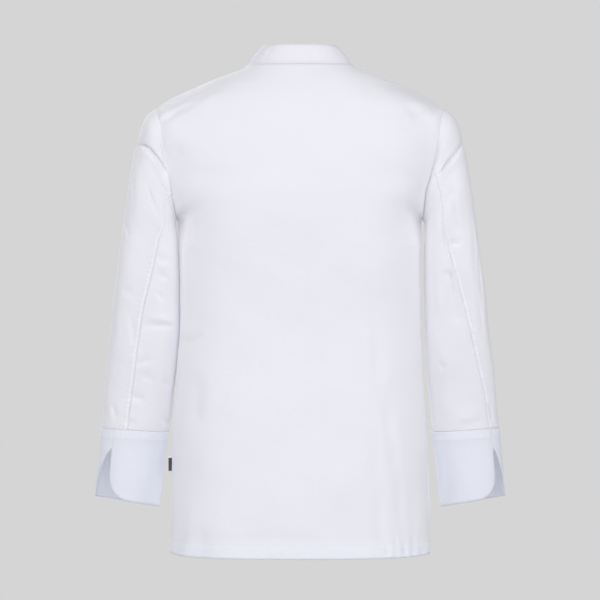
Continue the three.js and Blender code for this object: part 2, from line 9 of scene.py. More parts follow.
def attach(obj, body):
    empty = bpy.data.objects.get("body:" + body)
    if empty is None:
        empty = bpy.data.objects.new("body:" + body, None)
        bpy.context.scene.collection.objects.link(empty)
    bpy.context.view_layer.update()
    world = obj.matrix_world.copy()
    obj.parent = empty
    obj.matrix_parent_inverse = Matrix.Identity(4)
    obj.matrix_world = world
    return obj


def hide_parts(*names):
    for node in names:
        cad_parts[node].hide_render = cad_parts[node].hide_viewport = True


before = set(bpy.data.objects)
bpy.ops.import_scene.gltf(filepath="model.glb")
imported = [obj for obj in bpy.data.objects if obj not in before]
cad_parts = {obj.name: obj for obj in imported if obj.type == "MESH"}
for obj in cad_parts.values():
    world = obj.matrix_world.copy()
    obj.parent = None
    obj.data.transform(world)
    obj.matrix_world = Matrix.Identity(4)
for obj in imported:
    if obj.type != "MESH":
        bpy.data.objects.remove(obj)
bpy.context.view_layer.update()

mm = 0.001
print("chef jacket: frame loaded")

# camera, level with the middle of the jacket and straight behind it
view = {"distance": 3.6, "height": -0.3604, "seenWidth": 0.936, "sensor": 36.0}
cameraData = bpy.data.cameras.new("camera")
cameraData.sensor_width = view["sensor"]
cameraData.lens = view["sensor"] * view["distance"] / view["seenWidth"]
cameraData.clip_end = 50
camera = bpy.data.objects.new("camera", cameraData)
camera.location = (0, view["distance"], view["height"])
camera.rotation_euler = (math.radians(90), 0, math.radians(180))
bpy.context.scene.collection.objects.link(camera)
bpy.context.scene.camera = camera

# node helpers


class Wire:
    # one socket; arithmetic on it adds Math nodes
    def __init__(self, shader, socket):
        self.shader = shader
        self.socket = socket

    def math(self, operation, *others):
        settings = {"operation": operation}
        return self.shader.add("ShaderNodeMath", settings, dict(enumerate((self, *others))))

    def __add__(self, other):
        return self.math("ADD", other)

    def __sub__(self, other):
        return self.math("SUBTRACT", other)

    def __mul__(self, other):
        return self.math("MULTIPLY", other)

    def __truediv__(self, other):
        return self.math("DIVIDE", other)

    def __rsub__(self, other):
        return self.shader.add("ShaderNodeMath", {"operation": "SUBTRACT"}, {0: other, 1: self})

    __radd__ = __add__
    __rmul__ = __mul__


class Shader:
    def __init__(self, name):
        self.material = bpy.data.materials.new(name)
        self.material.use_nodes = True
        self.tree = self.material.node_tree
        self.surface = self.tree.nodes["Principled BSDF"]

    def add(self, kind, settings=None, inputs=None, output=0):
        node = self.tree.nodes.new(kind)
        for key, value in (settings or {}).items():
            setattr(node, key, value)
        self.feed(node, inputs or {})
        return Wire(self, node.outputs[output])

    def feed(self, node, inputs):
        for key, value in inputs.items():
            if isinstance(value, Wire):
                self.tree.links.new(value.socket, node.inputs[key])
            else:
                node.inputs[key].default_value = value

    def near(self, wire, place, width):
        # 1 on the line at place, falling to 0 at width beside it
        return (1 - (wire - place).math("ABSOLUTE") / width).math("MAXIMUM", 0.0)

    def objectPlace(self):
        return self.add("ShaderNodeTexCoord", output=3)

    def noise(self, place, scale, detail, roughness=0.5, distortion=0.0):
        return self.add("ShaderNodeTexNoise", None, {
            "Vector": place, "Scale": scale, "Detail": detail,
            "Roughness": roughness, "Distortion": distortion})

    def bump(self, height, strength, distance):
        return self.add("ShaderNodeBump", None, {
            "Strength": strength, "Distance": distance, "Height": height})

    def blend(self, share, *colours):
        # from the first colour at share 0 to the second at 1
        first, second = (colour if isinstance(colour, Wire) else (*colour, 1) for colour in colours)
        return self.add("ShaderNodeMix", {"data_type": "RGBA"}, {0: share, 6: first, 7: second}, output=2)


# sizes and sections, in millimetres

form = {
    "hemZ": -751, "neckPointZ": 7, "shoulderTipZ": -62, "underarmZ": -235,
    "neckHalf": 80.5, "backNeckZ": 3, "frontNeckZ": -75,
    "armholeHalfDepth": 75, "armholeSquare": {"back": 2.8, "front": 2.2}, "neckColumn": 0.4,
    "lapLift": 2.6, "lapFrom": 88, "lapTo": 135, "lapSeam": 35, "seamGap": 0.1,
}

bodyColumns = ("z", "half", "back", "front", "backSquare", "frontSquare")
bodySections = [dict(zip(bodyColumns, row)) for row in (
    (8, 80, 57, 24, 2.2, 2.2),
    (2, 87, 59, 30, 2.2, 2.2),
    (-2, 96, 62, 34, 2.2, 2.2),
    (-17, 135, 72, 46, 2.2, 2.2),
    (-33, 172, 81, 60, 2.2, 2.2),
    (-48, 204, 89, 71, 2.2, 2.2),
    (-62, 222, 95, 81, 2.2, 2.2),
    (-80, 217, 101, 92, 2.2, 2.2),
    (-126, 209, 112, 112, 2.3, 2.2),
    (-165, 203, 117, 123, 2.3, 2.2),
    (-200, 196, 119, 129, 2.6, 2.2),
    (-235, 190, 118, 131, 2.8, 2.2),
    (-300, 185.5, 114, 130, 3.1, 2.2),
    (-390, 184, 109, 126, 3.2, 2.2),
    (-440, 186.5, 111, 125, 3.2, 2.2),
    (-516, 193, 118, 127, 3.1, 2.25),
    (-594, 197, 124, 130, 3.0, 2.3),
    (-665, 199, 129, 133, 2.9, 2.35),
    (-751, 201, 132, 136, 2.9, 2.4),
)]

sideShift = [dict(zip(("z", "left", "right"), row)) for row in (
    (-62, 0, 0), (-130, -1, -0.5), (-165, -2.5, -3), (-190, -1.5, -5), (-215, 0, -3), (-235, 0.5, -0.5),
    (-250, 1.6, 0.6), (-298, 2.2, 2), (-338, 2.2, 3), (-392, 2.8, 4), (-423, 1.6, 2.8), (-456, 2.4, 2.4),
    (-485, 2.6, 1.2), (-516, 2.5, 1), (-594, 1, 1), (-672, 0.5, 0), (-751, 0, 0),
)]

# the cloth's grids: how far apart their points lie, and the length of the armhole's edge
grid = {"spacing": 3.7, "sleeveSpacing": 2.8, "armholeRun": 230}
trunkRows = round((form["underarmZ"] - form["hemZ"]) / grid["spacing"])
armholeRows = round(grid["armholeRun"] / grid["spacing"])
panelRows = trunkRows - 1 + armholeRows

lapEdge = [dict(zip(("z", "share"), row)) for row in (
    (-751, 0.205), (-480, 0.235), (-235, 0.255), (-130, 0.28), (-20, 0.31))]

# left and right are the angles of the sleeves' back seams
ringColumns = (
    "outX", "outZ", "inLeft", "inRight", "inZ", "midY", "depth", "square", "backSquare", "left", "right")
sleeveRings = [dict(zip(ringColumns, row)) for row in (
    (222, -62, 190, 190, -235, 0, 75, 2.2, 2.8, 125, 97),
    (238, -74, 192.5, 193.5, -239.5, 0, 76.5, 2.2, 2.85, 124.5, 100),
    (247, -93, 192.5, 194.2, -246, 0, 77.5, 2.2, 2.9, 124, 103),
    (254, -122, 191.5, 194, -256, 0, 78, 2.2, 3.05, 122.5, 105),
    (262.5, -168, 189.8, 193.4, -272, 0, 78, 2.2, 3.3, 119, 104),
    (270, -218, 188.4, 192.8, -298, -2, 76, 2.2, 3.6, 107, 99.5),
    (279, -285, 187.6, 193, -338, -5, 73, 2.2, 3.8, 98, 91),
    (289, -360, 187.5, 194, -392, -9, 68, 2.2, 3.8, 88, 79),
    (297.5, -438, 191.4, 197, -456, -15, 61, 2.2, 3.5, 83.5, 66),
    (306.5, -512, 200.5, 203.5, -522, -23, 54, 2.15, 3.1, 82.5, 55),
    (311.5, -560, 206, 208.5, -567, -28, 50, 2.1, 2.7, 82, 51),
)]

cuffColumns = ("down", "outX", "outZ", "inX", "inZ", "midY", "depth", "square", "backSquare", "frontDrop")
cuffRings = [dict(zip(cuffColumns, row)) for row in (
    (0, 312.5, -559.5, 205.8, -566.5, -28, 51, 2.1, 2.7, 0),
    (24, 315, -585, 210.6, -593, -31, 51.5, 2.1, 2.6, 1),
    (64, 319, -625, 216, -637, -34, 54, 2.05, 2.5, 3),
    (109, 323.5, -669, 222, -686, -38, 57, 2, 2.4, 5),
)]


def along(rows, key, name):
    # smooth curve through one column of a table, without overshoot
    keys = np.array([row[key] for row in rows], float)
    values = np.array([row[name] for row in rows], float)
    if keys[0] > keys[-1]:
        keys, values = keys[::-1], values[::-1]
    steps = np.diff(values) / np.diff(keys)
    before, after = steps[:-1], steps[1:]
    same = before * after > 0
    inner = np.where(same, 2 * before * after / np.where(same, before + after, 1), 0)
    slopes = np.concatenate([steps[:1], inner, steps[-1:]])

    def at(place):
        place = np.clip(place, keys[0], keys[-1])
        i = np.clip(np.searchsorted(keys, place) - 1, 0, len(keys) - 2)
        width = keys[i + 1] - keys[i]
        t = (place - keys[i]) / width
        start = (1 + 2 * t) * (1 - t) ** 2 * values[i] + t * (1 - t) ** 2 * width * slopes[i]
        return start + t * t * (3 - 2 * t) * values[i + 1] + t * t * (t - 1) * width * slopes[i + 1]

    return at


def mix(a, b, t):
    return a + (b - a) * t


def ease(t):
    t = np.clip(t, 0, 1)
    return t * t * (3 - 2 * t)


def bell(t):
    return np.exp(-t * t)


def signedPower(value, power):
    return np.sign(value) * np.abs(value) ** power


def foldProfile(aside, width, ridge):
    # a trough with a soft ridge on one side
    side = np.sign(ridge) * 1.9 * width
    return bell(aside / width) - abs(ridge) * bell((aside - side) / (1.2 * width))


# the length, turn and height of each wave in the cloth's slow unevenness
waves = ((210, 0.3, 1.0), (140, 1.2, 0.7), (95, 2.2, 0.5), (63, 0.8, 0.3), (44, 1.9, 0.16))


def unevenness(a, b, seed, size):
    # slow waves of a few lengths and directions, so no stretch of cloth is quite even
    total = 0
    for k, (length, turn, height) in enumerate(waves):
        phase = seed * (1.7 + k) + k * k
        way = a * math.cos(turn) + b * math.sin(turn)
        total = total + height * np.sin(2 * math.pi * way / length + phase)
    return total * size


# the body's surface

bodyAt = {name: along(bodySections, "z", name) for name in bodyColumns[1:]}
heights = np.arange(-800.0, 60.0, 1.0)
armholeMiddle = (form["shoulderTipZ"] + form["underarmZ"]) / 2
armholeHalf = (form["shoulderTipZ"] - form["underarmZ"]) / 2


def armholeDepth(face, z):
    share, square = np.clip(np.abs(z - armholeMiddle) / armholeHalf, 0, 1), form["armholeSquare"][face]
    return form["armholeHalfDepth"] * (1 - share ** square) ** (1 / square)


def armholeZ(angle):
    turned = signedPower(np.cos(np.radians(angle)), 2 / form["armholeSquare"]["front"])
    return armholeMiddle + armholeHalf * turned


def stretchOf(face):
    # how much wider the section would be if the armhole didn't cut it off
    square = bodyAt[face + "Square"](heights)
    edge = np.minimum(armholeDepth(face, heights) / bodyAt[face](heights), 0.99)
    raw = 1 / (1 - edge ** square) ** (1 / square)
    return sum(np.interp(heights + step, heights, raw) for step in (-40, -25, -12, 0, 12, 25, 40)) / 7


stretchAt = {face: stretchOf(face) for face in ("back", "front")}


fineHeights = np.arange(-800.0, 60.0, 0.25)
lackSpreads = (0, 1, 2, 4, 8, 14, 22, 32)


def lackOf(face):
    # how far the plain section's edge is from the armhole or the side seam, smoothed more and more
    square = bodyAt[face + "Square"](fineHeights)
    stretch = np.interp(fineHeights, heights, stretchAt[face])
    plain = bodyAt[face](fineHeights) * (1 - (1 / stretch) ** square) ** (1 / square)
    sharp = armholeDepth(face, fineHeights) - plain
    curves = [sharp]
    for spread in lackSpreads[1:]:
        window = bell(np.arange(-3 * spread, 3 * spread + 0.1, 0.25) / spread)
        padded = np.pad(sharp, len(window) // 2, mode="edge")
        curves.append(np.convolve(padded, window / window.sum(), mode="valid"))
    return curves


lackAt = {face: lackOf(face) for face in ("back", "front")}


def bodyY(face, x, z):
    depth = bodyAt[face](z)
    square = bodyAt[face + "Square"](z)
    half = bodyAt["half"](z)
    wide = half * np.interp(z, heights, stretchAt[face])

    def section(place):
        return depth * (1 - np.minimum(1, place / wide) ** square) ** (1 / square)

    # what the edge lacks fades inwards, and is smoother the further in it is
    across = np.minimum(half, np.abs(x))
    inward = np.hypot(half - across, section(across) - section(half))
    place = np.interp(inward * 0.5, lackSpreads, np.arange(len(lackSpreads)))
    lacking = 0
    for k, smoothed in enumerate(lackAt[face]):
        lacking = lacking + np.maximum(0, 1 - np.abs(place - k)) * np.interp(z, fineHeights, smoothed)
    y = section(across) + lacking * bell(inward / 46) + form["seamGap"] / 2
    return y if face == "back" else -y


def topEdge(face, share):
    across = np.abs(share)
    column = form["neckColumn"]
    angle = np.radians(90 * np.minimum(1, across / column))
    centreZ = form["backNeckZ"] if face == "back" else form["frontNeckZ"]
    neckX = form["neckHalf"] * np.sin(angle) ** (2 / 2.2)
    neckZ = mix(form["neckPointZ"], centreZ, np.cos(angle) ** 1.15)
    seamZ = mix(form["neckPointZ"], form["shoulderTipZ"], np.clip((across - column) / (1 - column), 0, 1))
    inNeck = across <= column
    x = np.sign(share) * np.where(inNeck, neckX, bodyAt["half"](seamZ))
    return x, np.where(inNeck, neckZ, seamZ)


def panelPlace(face, share, rise):
    lowZ = np.where(rise < 0, mix(form["underarmZ"], form["hemZ"], -rise), form["underarmZ"])
    turn = signedPower(np.sin(np.radians(90 * share)), 2 / bodyAt[face + "Square"](lowZ))
    lowX = bodyAt["half"](lowZ) * turn
    topX, topZ = topEdge(face, share)
    edgeZ = mix(form["underarmZ"], form["shoulderTipZ"], rise)
    halfLow, halfTip = bodyAt["half"](form["underarmZ"]), bodyAt["half"](form["shoulderTipZ"])
    hollow = bodyAt["half"](edgeZ) - mix(halfLow, halfTip, rise)
    upper = rise > 0
    x = np.where(upper, mix(lowX, topX, rise) + share * hollow, lowX)
    z = np.where(upper, mix(lowZ, topZ, rise), lowZ)
    return x, z


def facings(points):
    # the way a grid's cloth faces: rows go up, columns go round
    across = np.gradient(points, axis=1)
    up = np.gradient(points, axis=0)
    facing = np.cross(across, up)
    return facing / np.maximum(np.linalg.norm(facing, axis=2, keepdims=True), 1e-9)


def edgeDistances(points):
    # how far each point lies from the left, bottom, right and top edges of its grid
    sideways = np.linalg.norm(np.diff(points, axis=1), axis=2)
    upward = np.linalg.norm(np.diff(points, axis=0), axis=2)
    left = np.concatenate([np.zeros((len(points), 1)), np.cumsum(sideways, axis=1)], axis=1)
    bottom = np.concatenate([np.zeros((1, points.shape[1])), np.cumsum(upward, axis=0)], axis=0)
    return {"left": left, "bottom": bottom, "right": left[:, -1:] - left, "top": bottom[-1:] - bottom}


# folds pressed into the body cloth: ends, width, depth, a ridge on one side and a bow
foldColumns = ("face", "fromX", "fromZ", "toX", "toZ", "width", "depth", "ridge", "bow")
bodyFolds = [dict(zip(foldColumns, row)) for row in (
    ("back", 232, -106, 140, -48, 4.5, 2.2, 0.7, -5),
    ("back", 208, -68, 104, -24, 4, 1.2, 0.5, 2),
    ("back", 210, -150, 176, -128, 11, 2.0, 0.3, 0),
    ("back", -222, -112, -150, -42, 8, 2.0, -0.6, -6),
    ("back", -216, -134, -150, -96, 10, 1.5, -0.4, 5),
    ("back", -120, -52, -98, -26, 12, 1.6, 0.3, 0),
    ("back", 184, -238, 146, -208, 8, 0.7, 0.4, 3),
    ("back", 190, -262, 164, -252, 9, 0.5, 0.3, 0),
    ("back", -190, -240, -160, -204, 10, 0.7, 0.3, -4),
    ("back", 178, -432, 146, -408, 7, 2.0, 0.5, 0),
    ("back", 156, -465, 158, -560, 10, 2.2, 0.3, 0),
    ("back", -112, -392, -124, -500, 9, 2.0, 0.4, 0),
    ("back", -132, -512, -150, -632, 8, 2.0, 0.4, 3),
    ("back", -147, -606, -163, -790, 8, 2.4, 0.4, 0),
    ("back", -111, -552, -118, -650, 9, 1.4, 0.3, 0),
    ("back", -117, -640, -136, -790, 9, 2.2, 0.4, 4),
    ("back", -167, -634, -185, -790, 8, 2.4, -0.5, 3),
    ("back", 176, -664, 190, -790, 9, 3.0, 0.5, 3),
    ("back", 148, -690, 152, -790, 12, 1.8, 0.4, 0),
    ("back", 60, -600, 74, -790, 24, 1.8, 0.2, 5),
    ("back", -130, -716, -133, -800, 3.6, 1.5, 0.6, 0),
    ("back", -143, -700, -147, -800, 3.4, 2.0, 0.7, 0),
    ("back", -156, -722, -159, -800, 3.2, 1.8, 0.6, 0),
    ("back", -171, -706, -173, -800, 3.4, 2.2, 0.7, 0),
    ("back", -185, -724, -187, -800, 3.4, 1.6, 0.6, 0),
    ("back", -50, -640, -58, -790, 22, 1.6, 0.2, -4),
    ("back", 10, -430, -40, -470, 26, 1.0, 0.2, 8),
    ("front", 190, -236, 118, -168, 13, 4.0, 0.4, 5),
    ("front", 204, -150, 150, -112, 12, 2.6, 0.3, -4),
    ("front", 214, -92, 150, -60, 10, 2.4, 0.4, 3),
    ("front", -190, -236, -125, -176, 12, 3.6, 0.4, -5),
    ("front", -206, -140, -146, -100, 13, 2.8, 0.3, 4),
    ("front", -212, -96, -156, -66, 9, 2.2, 0.4, -3),
    ("front", 150, -470, 158, -780, 15, 4.2, 0.5, 4),
    ("front", 176, -560, 186, -780, 9, 3.2, 0.5, 0),
    ("front", -146, -500, -160, -780, 15, 4.6, 0.5, -4),
    ("front", -176, -590, -188, -780, 9, 3.4, 0.5, 0),
    ("front", 100, -330, 120, -420, 18, 1.8, 0.2, 4),
    ("front", -96, -300, -118, -390, 16, 1.8, 0.2, -4),
    ("front", 22, -560, 30, -780, 20, 1.8, 0.2, 0),
)]


def bodyFoldDepth(face, x, z):
    total = np.zeros_like(x)
    for fold in bodyFolds:
        if fold["face"] != face:
            continue
        runX, runZ = fold["toX"] - fold["fromX"], fold["toZ"] - fold["fromZ"]
        length = math.hypot(runX, runZ)
        way = ((x - fold["fromX"]) * runX + (z - fold["fromZ"]) * runZ) / length ** 2
        aside = ((x - fold["fromX"]) * runZ - (z - fold["fromZ"]) * runX) / length
        aside = aside + fold["bow"] * np.sin(math.pi * np.clip(way, 0, 1))
        ends = ease(way * 3) * ease((1 - way) * 3)
        total += fold["depth"] * foldProfile(aside, fold["width"], fold["ridge"]) * ends
    return total


def evenShares(face, low, high, count):
    # column places that lie evenly round the body at hip height
    shares = np.linspace(low, high, 801)
    x, z = panelPlace(face, shares, np.full(801, -0.6))
    y = bodyY(face, x, z)
    way = np.concatenate([[0], np.cumsum(np.hypot(np.diff(x), np.diff(y)))])
    return np.interp(np.linspace(0, way[-1], count), way, shares)


def panelRises(shares):
    # rows bunch at the foot and head of the armhole, but only beside it
    lower = np.linspace(-1, 0, trunkRows)[:-1]
    angles = np.linspace(180, 0, armholeRows)
    beside = (armholeZ(angles) - form["underarmZ"]) / (form["shoulderTipZ"] - form["underarmZ"])
    beside[0], beside[-1] = 0, 1
    even = np.linspace(0, 1, len(angles))
    upper = mix(even[:, None], beside[:, None], np.abs(shares)[-len(angles):] ** 3)
    return np.concatenate([np.broadcast_to(lower[:, None], (len(lower), shares.shape[1])), upper])


def frontLift(x, y):
    fade = 1 - ease((x - form["lapFrom"]) / (form["lapTo"] - form["lapFrom"]))
    return form["lapLift"] * fade * ease(-y / form["lapSeam"])


def panelGrid(face, shares, lift=None, seed=1.0):
    # rows of points from the hem up; shares may change from row to row
    x, z = panelPlace(face, shares, panelRises(shares))
    y = bodyY(face, x, z)
    x = x + shiftOf(x, z) * np.minimum(1, np.abs(x) / bodyAt["half"](z)) ** 5
    points = np.stack([x, y, z], axis=2)
    facing = facings(points)
    if (facing[..., 1].mean() > 0) != (face == "back"):
        facing = -facing
    away = edgeDistances(points)
    calm = ease(np.minimum(away["left"], away["right"]) / 30) * ease(away["top"] / 25)
    out = -bodyFoldDepth(face, x, z) * ease(np.minimum(away["left"], away["right"]) / 6 + 0.35)
    out = out + unevenness(x, z, seed, 0.75) * (0.25 + 0.75 * calm)
    out = out + 0.35 * ease((21.5 - away["bottom"]) / 3) - 0.7 * bell((away["bottom"] - 30) / 9)
    if lift is not None:
        out = out + lift(x, y)
    return points + facing * out[..., None]


def shiftOf(x, z):
    # the trunk's own small ins and outs beside each sleeve
    return np.where(x > 0, shiftAt["left"](z), -shiftAt["right"](z))


shiftAt = {side: along(sideShift, "z", side) for side in ("left", "right")}

# sleeves and cuffs
ringWay = np.concatenate([[0], np.cumsum([
    math.hypot(b["outX"] - a["outX"], b["outZ"] - a["outZ"]) for a, b in zip(sleeveRings, sleeveRings[1:])])])
for ring, way in zip(sleeveRings, ringWay):
    ring["down"] = way
sleeveLength = float(ringWay[-1])
sleeveAt = {name: along(sleeveRings, "down", name) for name in ringColumns}
cuffAt = {name: along(cuffRings, "down", name) for name in cuffColumns[1:]}

# across is the angle round the sleeve in degrees, from 0 outside through 90 behind
sleeveFoldColumns = ("fromAngle", "fromDown", "toAngle", "toDown", "width", "depth", "ridge", "bow")
sleeveLooks = {
    "left": {
        "sign": 1, "slit": 58, "inner": "inLeft", "tuck": (0.8, 1.6), "seed": 3.1, "cuffSeed": 7.7,
        "crease": {
            "fromAngle": 0, "fromDown": 79, "toAngle": 104, "toDown": 1, "bow": 1,
            "depth": 6.0, "above": 26, "below": 7, "groove": 5.2, "grooveWidth": 3.0,
        },
        "folds": [dict(zip(sleeveFoldColumns, row)) for row in (
            (34, 100, 52, 160, 5, 1.4, 0.4, 0),
            (80, 84, 92, 116, 6, 2.0, 0.4, 2),
            (96, 42, 124, 8, 4, 1.6, 0.5, 0),
            (28, 186, 50, 204, 6, 1.8, 0.4, 0),
            (100, 214, 146, 178, 7, 1.4, 0.4, 0),
            (104, 240, 138, 230, 7, 1.4, 0.4, 2),
            (104, 270, 128, 280, 7, 1.2, 0.4, 0),
            (84, 338, 166, 323, 6, 2.2, -0.6, 2),
            (66, 325, 80, 380, 6, 2.0, 0.4, 3),
            (78, 410, 112, 388, 6, 1.5, 0.4, 2),
            (90, 418, 120, 426, 6, 1.0, 0.4, -2),
            (126, 428, 162, 437, 7, 1.6, 0.4, 2),
            (76, 456, 104, 460, 6, 1.4, 0.4, 0),
            (72, 496, 94, 504, 5, 2.4, 0.5, 0),
            (132, 488, 178, 499, 6, 2.2, 0.5, 0),
            (44, 470, 62, 500, 6, 2.0, 0.5, 2),
            (12, 250, 30, 400, 10, 1.6, 0.4, 3),
            (40, 296, 76, 290, 8, 1.4, 0.4, 2),
            (200, 170, 265, 196, 12, 3.6, 0.5, 4),
            (205, 250, 275, 228, 10, 4.2, 0.5, -4),
            (200, 285, 262, 306, 10, 3.6, 0.5, 3),
            (215, 352, 285, 334, 10, 3.2, 0.5, -3),
            (230, 400, 300, 424, 11, 2.6, 0.4, 3),
            (285, 60, 322, 150, 16, 3.0, 0.3, 4),
        )],
    },
    "right": {
        "sign": -1, "slit": 47, "inner": "inRight", "tuck": (0.9, 3.6), "seed": 5.3, "cuffSeed": 9.2,
        "crease": {
            "fromAngle": 0, "fromDown": 66, "toAngle": 100, "toDown": 22, "bow": 8,
            "depth": 4.6, "above": 24, "below": 7, "groove": 4.6, "grooveWidth": 3.0,
        },
        "folds": [dict(zip(sleeveFoldColumns, row)) for row in (
            (81, 106, 80, 190, 6, 2.4, 0.5, 0),
            (94, 76, 72, 120, 6, 1.2, 0.4, 0),
            (100, 178, 68, 206, 6, 1.8, -0.5, 0),
            (110, 84, 99, 215, 5, 2.6, 0.5, 3),
            (98, 205, 94, 300, 5, 2.2, 0.5, 0),
            (114, 226, 90, 257, 7, 1.6, 0.4, 0),
            (94, 298, 87, 338, 7, 1.6, 0.4, 0),
            (38, 172, 49, 290, 6, 1.8, 0.4, 0),
            (49, 285, 45, 384, 6, 1.8, 0.4, 0),
            (28, 210, 38, 330, 5, 1.6, 0.5, 2),
            (104, 512, 64, 492, 7, 2.2, 0.5, 2),
            (134, 388, 118, 412, 6, 1.6, 0.5, 0),
            (47, 468, 40, 510, 5, 2.4, 0.5, 0),
            (74, 345, 66, 400, 5, 1.8, 0.4, 0),
            (140, 250, 128, 330, 8, 1.6, 0.4, 0),
            (198, 176, 262, 158, 12, 3.6, 0.5, -4),
            (205, 214, 275, 238, 10, 4.2, 0.5, 4),
            (200, 296, 262, 276, 10, 3.6, 0.5, -3),
            (215, 338, 285, 352, 10, 3.2, 0.5, 3),
            (230, 424, 300, 400, 11, 2.6, 0.4, -3),
            (280, 66, 318, 148, 16, 3.0, 0.3, 4),
        )],
    },
}
frontSeamAngle = -120


def sleeveDepth(look, angle, down):
    crease = look["crease"]
    run = (angle - crease["fromAngle"]) / (crease["toAngle"] - crease["fromAngle"])
    bow = crease["bow"] * np.sin(math.pi * np.clip(run, 0, 1))
    below = down - mix(crease["fromDown"], crease["toDown"], run) - bow
    soft = np.where(below < 0, crease["above"], crease["below"])
    length = ease((run + 0.02) * 2.6) * ease((1 - run) * 6)
    groove = crease["groove"] * bell((below + 1) / crease["grooveWidth"])
    total = (crease["depth"] * bell(below / soft) + groove - 2.2 * bell((below - 14) / 10)) * length
    for fold in look["folds"]:
        runA = (fold["toAngle"] - fold["fromAngle"]) * 1.1
        runD = fold["toDown"] - fold["fromDown"]
        length = math.hypot(runA, runD)
        turned = ((angle - fold["fromAngle"] + 180) % 360 - 180) * 1.1
        way = (turned * runA + (down - fold["fromDown"]) * runD) / length ** 2
        aside = ((down - fold["fromDown"]) * runA - turned * runD) / length
        aside = aside + fold["bow"] * np.sin(math.pi * np.clip(way, 0, 1))
        ends = ease(way * 2.5) * ease((1 - way) * 2.5)
        total = total + fold["depth"] * foldProfile(aside, fold["width"], fold["ridge"]) * ends
    # flat where the sleeve lies against the trunk, and at both ends
    against = 1 - 0.92 * bell((angle - 180) / 30) * ease((440 - down) / 40)
    return total * against * ease(down / 5) * ease((sleeveLength - down) / 22)


def ringPoints(columns, down, angle, sign, inset=0.0):
    # points on rings, flatter behind than in front; columns holds their sizes as curves along the sleeve
    ring = {name: curve(down) for name, curve in columns.items()}
    wave = signedPower(np.cos(np.radians(angle)), 2 / 2.2)
    behind = np.sin(np.radians(angle)) > 0
    flat = np.where(behind, ring["backSquare"], ring["square"])
    side = (1 - np.abs(wave) ** flat) ** (1 / flat) * np.where(behind, 1, -1)
    halfX, halfZ = (ring["outX"] - ring["inX"]) / 2, (ring["outZ"] - ring["inZ"]) / 2
    shrink = 1 - inset / np.hypot(halfX, halfZ)
    return np.stack([
        sign * ((ring["outX"] + ring["inX"]) / 2 + halfX * wave * shrink),
        ring["midY"] + (ring["depth"] - inset) * side,
        (ring["outZ"] + ring["inZ"]) / 2 + halfZ * wave * shrink + ring.get("frontDrop", 0) * side,
    ], axis=-1)


def evenAngles(columns, downs, starts, ends, sign, count):
    # for each row, angles that lie evenly along the ring from its start to its end
    rows = []
    for down, start, end in zip(downs, starts, ends):
        fine = np.linspace(start, end, 600)
        ring = ringPoints(columns, np.full(600, down), fine, sign)
        way = np.concatenate([[0], np.cumsum(np.linalg.norm(np.diff(ring, axis=0), axis=1))])
        rows.append(np.interp(np.linspace(0, way[-1], count), way, fine))
    return np.array(rows)


def sleeveCurves(look):
    names = ("outX", "outZ", "inZ", "midY", "depth", "square", "backSquare")
    columns = {name: sleeveAt[name] for name in names}
    return {**columns, "inX": sleeveAt[look["inner"]]}


def sleeveSurface(side, angle, down, seed):
    look = sleeveLooks[side]
    inner = np.clip(down, 0, sleeveLength)
    # pulled in under the trunk's edge, deeper in the lower half of the armhole behind
    lowBack = ease((angle - 52) / 34) * ease((205 - angle) / 60)
    pulled = mix(*look["tuck"], lowBack)
    tuck = pulled * ease((4 + 2.2 * pulled - down) / (5 + 2.2 * pulled))
    columns = sleeveCurves(look)
    points = ringPoints(columns, inner, angle, look["sign"], tuck)
    points[..., 0] += shiftOf(points[..., 0], np.maximum(points[..., 2], -240)) * ease((70 - down) / 70)
    points[..., 0] += look["sign"] * (0.4 + np.minimum(down, 0))
    ring = {name: curve(inner) for name, curve in columns.items()}
    middleX, middleZ = look["sign"] * (ring["outX"] + ring["inX"]) / 2, (ring["outZ"] + ring["inZ"]) / 2
    outward = points - np.stack([middleX, ring["midY"], middleZ], axis=-1)
    outward /= np.linalg.norm(outward, axis=-1, keepdims=True)
    against = 1 - 0.9 * bell((angle - 180) / 30) * ease((440 - down) / 40)
    calm = ease(down / 30) * ease((sleeveLength - down) / 30) * against
    away = unevenness(angle * 1.1, down, seed, 0.7) * calm - sleeveDepth(look, angle, down)
    return points + outward * away[..., None]


def sleeveGrid(side, which, columns, spacing):
    look = sleeveLooks[side]
    head, end, gap = 96, sleeveLength - 0.4, 0.06
    tight, loose = np.arange(0, head, spacing * 0.6), np.linspace(head, end, round((end - head) / spacing))
    downs = np.concatenate([[-6.0, -3.0], tight, loose])[::-1]
    inner = np.clip(downs, 0, sleeveLength)
    seam = sleeveAt[side](inner)
    if which == "top":
        starts, ends = 0 * seam + frontSeamAngle + gap, seam - gap
    else:
        starts, ends = seam + gap, 0 * seam + 360 + frontSeamAngle - gap
    angle = evenAngles(sleeveCurves(look), inner, starts, ends, look["sign"], columns)
    if look["sign"] < 0:
        angle = angle[:, ::-1]
    return sleeveSurface(side, angle, np.broadcast_to(downs[:, None], angle.shape), look["seed"])


cuffShape = {
    "length": 109, "slitTop": 27, "gap": 0.4, "corner": 38, "openTo": 3, "underDrift": 3, "aroundLength": 320}


